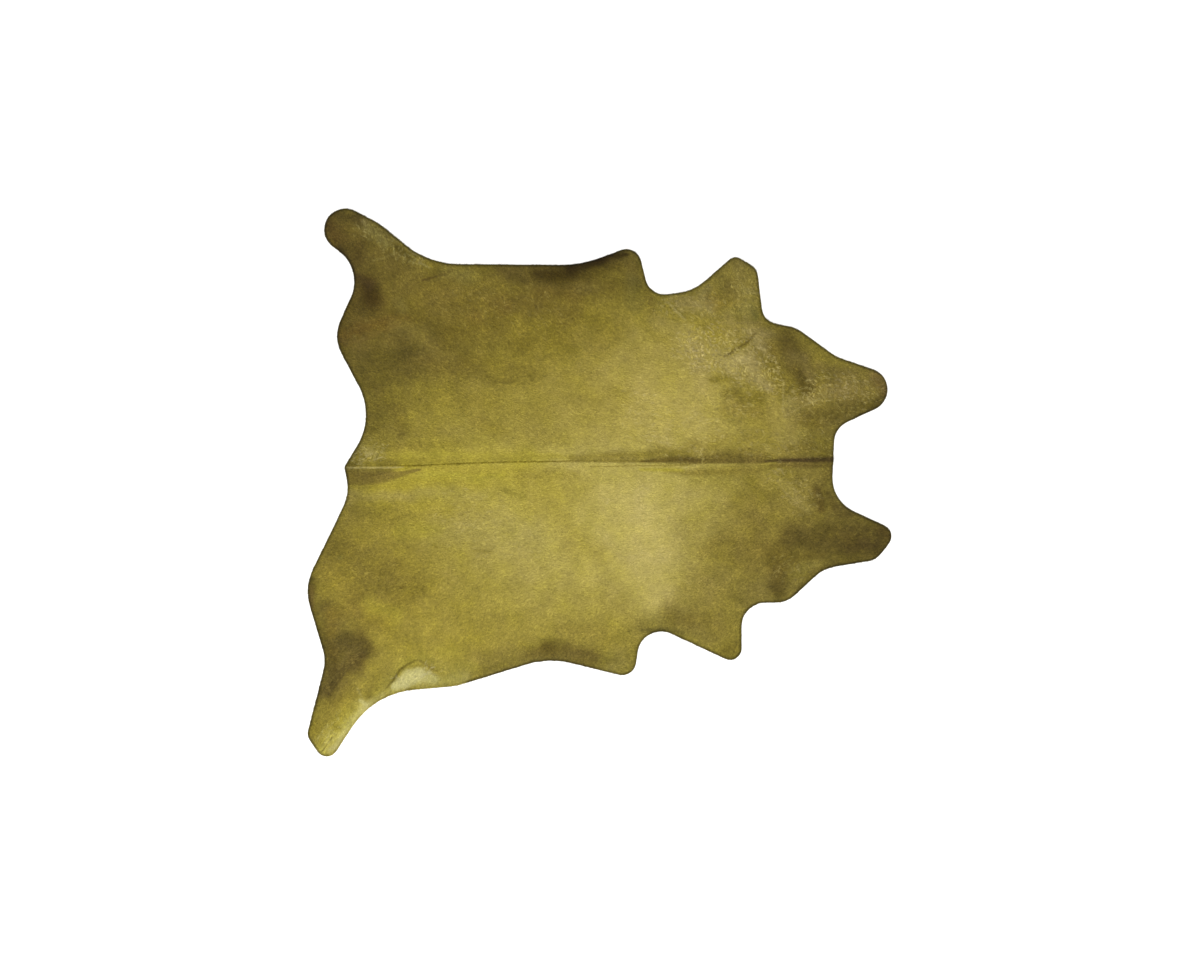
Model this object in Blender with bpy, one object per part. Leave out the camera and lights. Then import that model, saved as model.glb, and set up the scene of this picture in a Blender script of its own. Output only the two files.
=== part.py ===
"""Cowhide rug: one whole hair-on cowhide, dyed olive, that lies flat with its hair side up.

The hide is one closed sheet, its leather with the short coat lying on it. Its cut edge runs round a
table of rounds as a belt runs round pulleys: it wraps each lobe, skirts each bay and is straight
between them. Where the hide is ridged or puckered, both its faces lift off the ground together.

Metres, +Z up. The neck is at +X and the animal's left side at +Y. The origin is on the ground under
the middle of the hide.
"""

import math
from collections import namedtuple

import bmesh
import bpy
from mathutils import Vector
from mathutils.geometry import delaunay_2d_cdt

# Driving dimensions.
LENGTH = 2.25  # hind shanks to neck lobes
THICKNESS = 0.005  # 2 mm of leather and 3 mm of lying coat

# How finely the sheet is cut into facets.
CHORD_ERROR = 0.0006  # most that a facet cuts off a round
RIDGE_STEP = 0.045  # between rows of points along the backbone
ACROSS = (-1.0, -0.5, 0.0, 0.5, 1.0)  # a row's points, in half widths of the ridge or fold
ALONG = (-1.0, -0.65, -0.3, 0.0, 0.3, 0.65, 1.0)  # a fold's rows, in half lengths
CLEARANCE = 0.008  # least between two of these points, or from one to the cut edge
MERGE = 1e-5  # points this near are one
TRIANGLES_INSIDE = 1  # what the triangulation keeps

LOBE, BAY = 1, -1
Round = namedtuple("Round", "name x y radius side")

# The cut edge, anticlockwise from the left neck lobe, on a hide of LENGTH.
ROUNDS = (
    Round("left neck lobe", 1.021, 0.353, 0.085, LOBE),
    Round("left neck hollow", 0.975, 0.612, 0.146, BAY),
    Round("left shoulder", 0.698, 0.458, 0.142, LOBE),
    Round("left shoulder notch", 0.683, 0.665, 0.058, BAY),
    Round("left front knee", 0.564, 0.788, 0.046, LOBE),
    Round("left front shank", 0.521, 0.827, 0.035, LOBE),
    Round("left elbow bay", 0.279, 0.911, 0.188, BAY),
    Round("left armpit", 0.248, 0.788, 0.069, BAY),
    Round("left belly lobe", 0.106, 0.835, 0.058, LOBE),
    Round("left belly", -0.140, 1.222, 0.390, BAY),
    Round("left flank", -0.533, 1.163, 0.328, BAY),
    Round("left hock", -0.975, 0.773, 0.255, LOBE),
    Round("left hind shank", -0.971, 0.965, 0.083, LOBE),
    Round("left hock bay", -1.079, 0.766, 0.141, BAY),
    Round("left thigh", -0.867, 0.558, 0.138, LOBE),
    Round("left rump bay", -1.125, 0.258, 0.231, BAY),
    Round("tail stub", -0.971, 0.056, 0.006, LOBE),
    Round("right rump bay", -1.125, -0.023, 0.161, BAY),
    Round("right thigh", -0.927, -0.419, 0.190, LOBE),
    Round("right hock bay", -1.198, -0.685, 0.146, BAY),
    Round("right hind shank", -1.063, -0.961, 0.054, LOBE),
    Round("right hind tip", -1.042, -1.008, 0.045, LOBE),
    Round("right flank bay", -0.680, -1.108, 0.312, BAY),
    Round("right flank", -0.575, -0.631, 0.154, LOBE),
    Round("right belly", -0.183, -0.994, 0.308, BAY),
    Round("right belly lobe", 0.090, -0.688, 0.054, LOBE),
    Round("right armpit", 0.237, -0.662, 0.088, BAY),
    Round("right front shank", 0.502, -0.638, 0.046, LOBE),
    Round("right front knee bay", 0.635, -0.552, 0.088, BAY),
    Round("right shoulder", 0.679, -0.360, 0.104, LOBE),
    Round("right neck hollow", 0.921, -0.456, 0.131, BAY),
    Round("right neck lobe", 1.021, -0.231, 0.075, LOBE),
    Round("right neck tip", 1.073, -0.208, 0.048, LOBE),
    Round("right neck bay", 1.033, 0.015, 0.138, BAY),
    Round("left neck bay", 0.986, 0.150, 0.085, BAY),
)

Station = namedtuple("Station", "x y rise width")

# The ridge along the backbone, from the tail to the neck.
BACKBONE = (
    Station(-0.985, 0.058, 0.003, 0.030),
    Station(-0.860, 0.064, 0.009, 0.060),
    Station(-0.690, 0.056, 0.008, 0.080),
    Station(-0.560, 0.064, 0.004, 0.060),
    Station(-0.350, 0.077, 0.005, 0.050),
    Station(-0.150, 0.088, 0.004, 0.060),
    Station(0.060, 0.096, 0.007, 0.080),
    Station(0.270, 0.085, 0.008, 0.090),
    Station(0.380, 0.077, 0.003, 0.060),
    Station(0.500, 0.079, 0.007, 0.080),
    Station(0.700, 0.083, 0.005, 0.060),
    Station(0.900, 0.088, 0.007, 0.050),
)

Fold = namedtuple("Fold", "name x y heading length width rise")

# Where the hide puckers or waves. A fold's heading is in degrees from +X towards +Y.
FOLDS = (
    Fold("right flank tuck, tail side", -0.757, -0.731, 48, 0.190, 0.060, 0.008),
    Fold("right flank tuck, belly side", -0.659, -0.694, -31, 0.130, 0.050, 0.006),
    Fold("right flank swelling", -0.695, -0.752, 4, 0.220, 0.100, 0.006),
    Fold("right hock tuck", -0.912, -0.858, -54, 0.100, 0.045, 0.005),
    Fold("right hind shank crease", -1.045, -0.985, 56, 0.140, 0.040, 0.004),
    Fold("right thigh wrinkle, outer", -1.010, -0.690, 62, 0.200, 0.045, 0.004),
    Fold("right thigh wrinkle, inner", -0.960, -0.650, 54, 0.220, 0.050, 0.005),
    Fold("right belly wave", -0.170, -0.640, 3, 0.400, 0.090, 0.006),
    Fold("right armpit wave", 0.264, -0.535, 12, 0.240, 0.080, 0.005),
    Fold("right elbow crease", 0.534, -0.467, -42, 0.120, 0.045, 0.004),
    Fold("right shoulder wave", 0.705, -0.300, 58, 0.200, 0.080, 0.006),
    Fold("right neck crease", 0.849, -0.062, 78, 0.110, 0.045, 0.004),
    Fold("right neck wave", 0.930, -0.240, -18, 0.220, 0.070, 0.005),
    Fold("left neck crease", 0.818, 0.300, 35, 0.190, 0.050, 0.005),
    Fold("left neck wave", 0.870, 0.395, -24, 0.200, 0.070, 0.005),
    Fold("left shoulder crease", 0.557, 0.540, 34, 0.150, 0.050, 0.006),
    Fold("left shoulder root crease", 0.530, 0.620, -3, 0.230, 0.050, 0.005),
    Fold("left armpit crease", 0.295, 0.650, -48, 0.150, 0.045, 0.004),
    Fold("left belly wave", -0.130, 0.770, -3, 0.380, 0.080, 0.007),
    Fold("left flank tuck", -0.628, 0.792, 18, 0.160, 0.045, 0.005),
    Fold("left hock wave", -0.740, 0.865, -32, 0.220, 0.055, 0.005),
    Fold("left thigh wave", -0.800, 0.560, -38, 0.280, 0.110, 0.006),
    Fold("left hind shank wave", -0.935, 0.935, -38, 0.150, 0.050, 0.004),
)

COAT_OLIVE = (0.275, 0.219, 0.047, 1.0)


def tangent_heading(here, there):
    """Heading of the straight cut from one round to the next."""
    centres = Vector((there.x - here.x, there.y - here.y))
    swing = (there.side * there.radius - here.side * here.radius) / centres.length
    return math.atan2(centres.y, centres.x) - math.asin(swing)


def edge_on(around, heading):
    """Point of a round at which the cut edge has this heading."""
    reach = around.side * around.radius
    return Vector((around.x + reach * math.sin(heading), around.y - reach * math.cos(heading)))


def cut_edge():
    """Points of the cut edge, anticlockwise, scaled to LENGTH and centred on the origin."""
    points = []
    for before, around, after in zip(ROUNDS[-1:] + ROUNDS, ROUNDS, ROUNDS[1:] + ROUNDS[:1]):
        first = tangent_heading(before, around)
        last = tangent_heading(around, after)
        sweep = around.side * (last - first) % math.tau
        step = math.sqrt(8 * CHORD_ERROR * around.radius) / around.radius
        count = max(1, math.ceil(sweep / step))
        for index in range(count + 1):
            heading = first + around.side * sweep * index / count
            points.append(edge_on(around, heading))
    low = Vector((min(p.x for p in points), min(p.y for p in points)))
    high = Vector((max(p.x for p in points), max(p.y for p in points)))
    scale = LENGTH / (high.x - low.x)
    return [(p - (low + high) / 2) * scale for p in points]


def swell(offset):
    """1 in the middle of a fold, 0 from its side at 1 outwards, and smooth between."""
    return max(0.0, 1 - offset * offset) ** 2


def ridge_at(x):
    """The backbone's crest, rise and width at this station, or None past either end of it."""
    for here, there in zip(BACKBONE, BACKBONE[1:]):
        if here.x <= x <= there.x:
            share = (x - here.x) / (there.x - here.x)
            share = share * share * (3 - 2 * share)
            return [a + (b - a) * share for a, b in zip(here[1:], there[1:])]
    return None


def ridge_lift(x, y):
    """How far the backbone's ridge lifts the hide here."""
    ridge = ridge_at(x)
    if ridge is None:
        return 0.0
    crest, rise, width = ridge
    return rise * swell((y - crest) / (width / 2))


def fold_lift(fold, x, y):
    """How far one fold lifts the hide here."""
    heading = math.radians(fold.heading)
    along = (x - fold.x) * math.cos(heading) + (y - fold.y) * math.sin(heading)
    across = (y - fold.y) * math.cos(heading) - (x - fold.x) * math.sin(heading)
    return fold.rise * swell(along / (fold.length / 2)) * swell(across / (fold.width / 2))


def lift(x, y):
    """Height of the hide's underside above the ground."""
    return ridge_lift(x, y) + sum(fold_lift(fold, x, y) for fold in FOLDS)


def ridge_points():
    """Points across the backbone's ridge, row by row."""
    start, end = BACKBONE[0].x, BACKBONE[-1].x
    rows = round((end - start) / RIDGE_STEP)
    for row in range(rows + 1):
        x = start + (end - start) * row / rows
        crest, _, width = ridge_at(x)
        for offset in ACROSS:
            yield Vector((x, crest + offset * width / 2))


def fold_points(fold):
    """Points across one fold, row by row."""
    run = Vector((math.cos(math.radians(fold.heading)), math.sin(math.radians(fold.heading))))
    side = Vector((-run.y, run.x))
    for along in ALONG:
        for across in ACROSS:
            offset = run * along * fold.length / 2 + side * across * fold.width / 2
            yield Vector((fold.x, fold.y)) + offset


def inside(point, edge):
    """True if the point is within the cut edge and CLEARANCE from it."""
    crossings = 0
    for a, b in zip(edge, edge[1:] + edge[:1]):
        run = b - a
        share = min(1.0, max(0.0, (point - a).dot(run) / run.length_squared))
        if (point - a - run * share).length < CLEARANCE:
            return False
        if (a.y > point.y) != (b.y > point.y):
            crossings += point.x < a.x + run.x * (point.y - a.y) / run.y
    return crossings % 2 == 1


def lifted_points(edge):
    """Points of the ridge and the folds that lie inside the cut edge, none close to another."""
    kept = []
    for points in (ridge_points(), *map(fold_points, FOLDS)):
        for point in points:
            if inside(point, edge) and all((point - other).length > CLEARANCE for other in kept):
                kept.append(point)
    return kept


def build_hide():
    """The hide's mesh: its triangulated underside, drawn up by THICKNESS into a closed sheet."""
    edge = cut_edge()
    plan = edge + lifted_points(edge)
    points, _, faces, *_ = delaunay_2d_cdt(plan, [], [range(len(edge))], TRIANGLES_INSIDE, MERGE)
    sheet = bmesh.new()
    corners = [sheet.verts.new((p.x, p.y, lift(p.x, p.y))) for p in points]
    for face in faces:
        sheet.faces.new([corners[index] for index in face])
    grown = bmesh.ops.extrude_face_region(sheet, geom=sheet.faces[:], use_keep_orig=True)
    raised = [part for part in grown["geom"] if isinstance(part, bmesh.types.BMVert)]
    bmesh.ops.translate(sheet, verts=raised, vec=(0, 0, THICKNESS))
    bmesh.ops.recalc_face_normals(sheet, faces=sheet.faces[:])
    mesh = bpy.data.meshes.new("hide")
    sheet.to_mesh(mesh)
    sheet.free()
    mesh.shade_smooth()
    mesh.set_sharp_from_angle(angle=math.radians(40))
    return mesh


def hide_material():
    """Short, glossy dyed hair."""
    made = bpy.data.materials.new("dyed_hair_on_hide")
    made.use_nodes = True
    shader = made.node_tree.nodes["Principled BSDF"]
    shader.inputs["Base Color"].default_value = COAT_OLIVE
    shader.inputs["Roughness"].default_value = 0.6
    shader.inputs["Metallic"].default_value = 0.0
    return made


def main():
    for old in list(bpy.data.objects):
        bpy.data.objects.remove(old)
    hide = bpy.data.objects.new("hide", build_hide())
    hide.data.materials.append(hide_material())
    bpy.context.scene.collection.objects.link(hide)


main()
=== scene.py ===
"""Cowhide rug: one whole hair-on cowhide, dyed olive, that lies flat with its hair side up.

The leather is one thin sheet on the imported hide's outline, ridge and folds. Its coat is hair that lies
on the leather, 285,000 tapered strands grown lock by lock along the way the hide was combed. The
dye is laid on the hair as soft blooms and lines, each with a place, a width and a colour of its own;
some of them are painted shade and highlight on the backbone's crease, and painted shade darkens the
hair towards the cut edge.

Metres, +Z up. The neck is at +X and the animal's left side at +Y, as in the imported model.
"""

import math
from collections import namedtuple
from functools import lru_cache

import bmesh
import bpy
import numpy as np
from bpy.props import FloatProperty, FloatVectorProperty, IntProperty, PointerProperty
from bpy.types import Operator, Panel, PropertyGroup
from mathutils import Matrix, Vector
from mathutils.geometry import delaunay_2d_cdt
from mathutils.kdtree import KDTree


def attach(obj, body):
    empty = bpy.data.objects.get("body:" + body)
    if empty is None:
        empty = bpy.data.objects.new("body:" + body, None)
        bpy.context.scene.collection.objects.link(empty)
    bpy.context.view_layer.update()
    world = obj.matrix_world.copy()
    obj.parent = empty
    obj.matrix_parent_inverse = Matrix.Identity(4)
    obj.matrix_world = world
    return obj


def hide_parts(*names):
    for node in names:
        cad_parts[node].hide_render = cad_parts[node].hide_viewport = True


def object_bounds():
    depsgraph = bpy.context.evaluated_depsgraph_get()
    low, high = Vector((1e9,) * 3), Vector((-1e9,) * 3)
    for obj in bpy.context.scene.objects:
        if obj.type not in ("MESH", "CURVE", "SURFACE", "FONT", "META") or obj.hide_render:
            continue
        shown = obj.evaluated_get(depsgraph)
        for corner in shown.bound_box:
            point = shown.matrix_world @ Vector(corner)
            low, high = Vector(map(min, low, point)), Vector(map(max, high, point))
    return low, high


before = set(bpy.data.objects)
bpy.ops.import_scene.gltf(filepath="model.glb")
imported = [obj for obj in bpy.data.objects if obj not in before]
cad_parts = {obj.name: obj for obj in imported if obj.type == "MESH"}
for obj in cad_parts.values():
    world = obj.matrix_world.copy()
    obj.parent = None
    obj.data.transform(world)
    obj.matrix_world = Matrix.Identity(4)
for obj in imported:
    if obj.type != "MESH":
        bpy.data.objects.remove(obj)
CAD_LOW, CAD_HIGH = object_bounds()

bl_info = {
    "name": "Cowhide Rug",
    "version": (1, 0, 0),
    "blender": (4, 5, 0),
    "location": "View3D > Sidebar > Rug",
    "description": "Builds a dyed hair-on cowhide rug on its packed outline",
    "category": "Object",
}

NODE, BODY, SLOT = "hide", "root", "hair_on_hide"

# ---------------------------------------------------------------- how the hide lies

Station = namedtuple("Station", "x y rise width")

# The ridge along the backbone, from the tail to the neck.
BACKBONE = (
    Station(-0.985, 0.058, 0.003, 0.030),
    Station(-0.860, 0.064, 0.009, 0.060),
    Station(-0.690, 0.056, 0.008, 0.080),
    Station(-0.560, 0.064, 0.004, 0.060),
    Station(-0.350, 0.077, 0.005, 0.050),
    Station(-0.150, 0.088, 0.004, 0.060),
    Station(0.060, 0.096, 0.007, 0.080),
    Station(0.270, 0.085, 0.008, 0.090),
    Station(0.380, 0.077, 0.003, 0.060),
    Station(0.500, 0.079, 0.007, 0.080),
    Station(0.700, 0.083, 0.005, 0.060),
    Station(0.900, 0.088, 0.007, 0.050),
)

Fold = namedtuple("Fold", "name x y heading length width rise")

# Where the hide puckers or waves. A fold's heading is in degrees from +X towards +Y.
FOLDS = (
    Fold("right flank tuck, tail side", -0.757, -0.731, 48, 0.190, 0.060, 0.008),
    Fold("right flank tuck, belly side", -0.659, -0.694, -31, 0.130, 0.050, 0.006),
    Fold("right flank swelling", -0.695, -0.752, 4, 0.220, 0.100, 0.006),
    Fold("right hock tuck", -0.912, -0.858, -54, 0.100, 0.045, 0.005),
    Fold("right hind shank crease", -1.045, -0.985, 56, 0.140, 0.040, 0.004),
    Fold("right thigh wrinkle, outer", -1.010, -0.690, 62, 0.200, 0.045, 0.004),
    Fold("right thigh wrinkle, inner", -0.960, -0.650, 54, 0.220, 0.050, 0.005),
    Fold("right belly wave", -0.170, -0.640, 3, 0.400, 0.090, 0.006),
    Fold("right armpit wave", 0.264, -0.535, 12, 0.240, 0.080, 0.005),
    Fold("right elbow crease", 0.534, -0.467, -42, 0.120, 0.045, 0.004),
    Fold("right shoulder wave", 0.705, -0.300, 58, 0.200, 0.080, 0.006),
    Fold("right neck crease", 0.849, -0.062, 78, 0.110, 0.045, 0.004),
    Fold("right neck wave", 0.930, -0.240, -18, 0.220, 0.070, 0.005),
    Fold("left neck crease", 0.818, 0.300, 35, 0.190, 0.050, 0.005),
    Fold("left neck wave", 0.870, 0.395, -24, 0.200, 0.070, 0.005),
    Fold("left shoulder crease", 0.557, 0.540, 34, 0.150, 0.050, 0.006),
    Fold("left shoulder root crease", 0.530, 0.620, -3, 0.230, 0.050, 0.005),
    Fold("left armpit crease", 0.295, 0.650, -48, 0.150, 0.045, 0.004),
    Fold("left belly wave", -0.130, 0.770, -3, 0.380, 0.080, 0.007),
    Fold("left flank tuck", -0.628, 0.792, 18, 0.160, 0.045, 0.005),
    Fold("left hock wave", -0.740, 0.865, -32, 0.220, 0.055, 0.005),
    Fold("left thigh wave", -0.800, 0.560, -38, 0.280, 0.110, 0.006),
    Fold("left hind shank wave", -0.935, 0.935, -38, 0.150, 0.050, 0.004),
)

# Finer ridges, pressed in where the hide was folded.
CREASES = (
    Fold("tail parting", -0.851, 0.063, 1, 0.354, 0.015, 0.0015),
    Fold("loin parting", -0.459, 0.070, 2, 0.673, 0.015, 0.0018),
    Fold("barrel parting", 0.118, 0.073, 0, 0.615, 0.019, 0.0022),
    Fold("neck parting", 0.522, 0.073, 0, 0.354, 0.015, 0.0018),
    Fold("neck end parting", 0.784, 0.079, 1, 0.254, 0.019, 0.002),
    Fold("right flank crease, tail side", -0.757, -0.727, 38, 0.177, 0.019, 0.002),
    Fold("right flank crease, belly side", -0.664, -0.699, -26, 0.108, 0.015, 0.0018),
    Fold("left shoulder fine crease", 0.539, 0.529, 37, 0.192, 0.019, 0.002),
    Fold("neck slant crease", 0.626, 0.113, -27, 0.162, 0.019, 0.0016),
    Fold("left armpit fine crease", 0.286, 0.669, -45, 0.162, 0.019, 0.0018),
    Fold("right hind shank fine crease", -1.045, -1.002, 57, 0.100, 0.015, 0.0015),
    Fold("left hind shank fine crease", -0.703, 0.848, -25, 0.100, 0.015, 0.0012),
)

Lay = namedtuple("Lay", "name x y heading reach")

# Which way the hair lies: from the neck to the tail along the back, and down the flanks and legs.
LAY = (
    Lay("neck", 0.85, 0.05, 178, 0.30),
    Lay("back", 0.20, 0.08, 181, 0.45),
    Lay("rump", -0.80, 0.06, 182, 0.30),
    Lay("left neck lobe", 1.02, 0.35, 160, 0.15),
    Lay("left shoulder", 0.62, 0.42, 130, 0.16),
    Lay("left front shank", 0.53, 0.80, 88, 0.10),
    Lay("left ribs", 0.10, 0.45, 158, 0.30),
    Lay("left belly", -0.05, 0.75, 128, 0.18),
    Lay("left flank", -0.50, 0.72, 122, 0.16),
    Lay("left thigh", -0.80, 0.48, 145, 0.20),
    Lay("left hind shank", -0.96, 0.95, 118, 0.13),
    Lay("right neck lobe", 1.03, -0.23, 198, 0.15),
    Lay("right shoulder", 0.65, -0.32, 232, 0.16),
    Lay("right front shank", 0.50, -0.62, 268, 0.10),
    Lay("right ribs", 0.10, -0.32, 203, 0.30),
    Lay("right belly", -0.05, -0.60, 232, 0.18),
    Lay("right flank", -0.55, -0.60, 238, 0.16),
    Lay("right thigh", -0.85, -0.36, 214, 0.20),
    Lay("right hind shank", -1.04, -0.95, 240, 0.13),
)

# ---------------------------------------------------------------- how the hide is dyed, and its painted shade

# A mark of dye follows a path of points, each x, y and its width there. Edge is how much of the half
# width is evenly covered, and strength is the share of its dye that it leaves. A dye is given as the
# colour of hair that is full of it, as it looks on the finished rug.
Mark = namedtuple("Mark", "name path edge dye strength")


def marked(*rows):
    """Marks from rows of a name, edge, dye, strength and path, with the path's numbers in millimetres."""
    return tuple(
        Mark(name, tuple(tuple(size / 1000 for size in point) for point in path), edge, dye, strength)
        for name, edge, dye, strength, *path in rows
    )


# Seen in its light, the coat is its dye times this, with this haze on top, in red, green and blue.
BRIGHTENED, HAZE = (1.0573, 1.0538, 0.9873), (0.0046, 0.0063, 0.0087)
LEAST_DYE = 0.002  # of light that the darkest dye gives back

GROUND_DYE = "#95873a"

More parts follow.
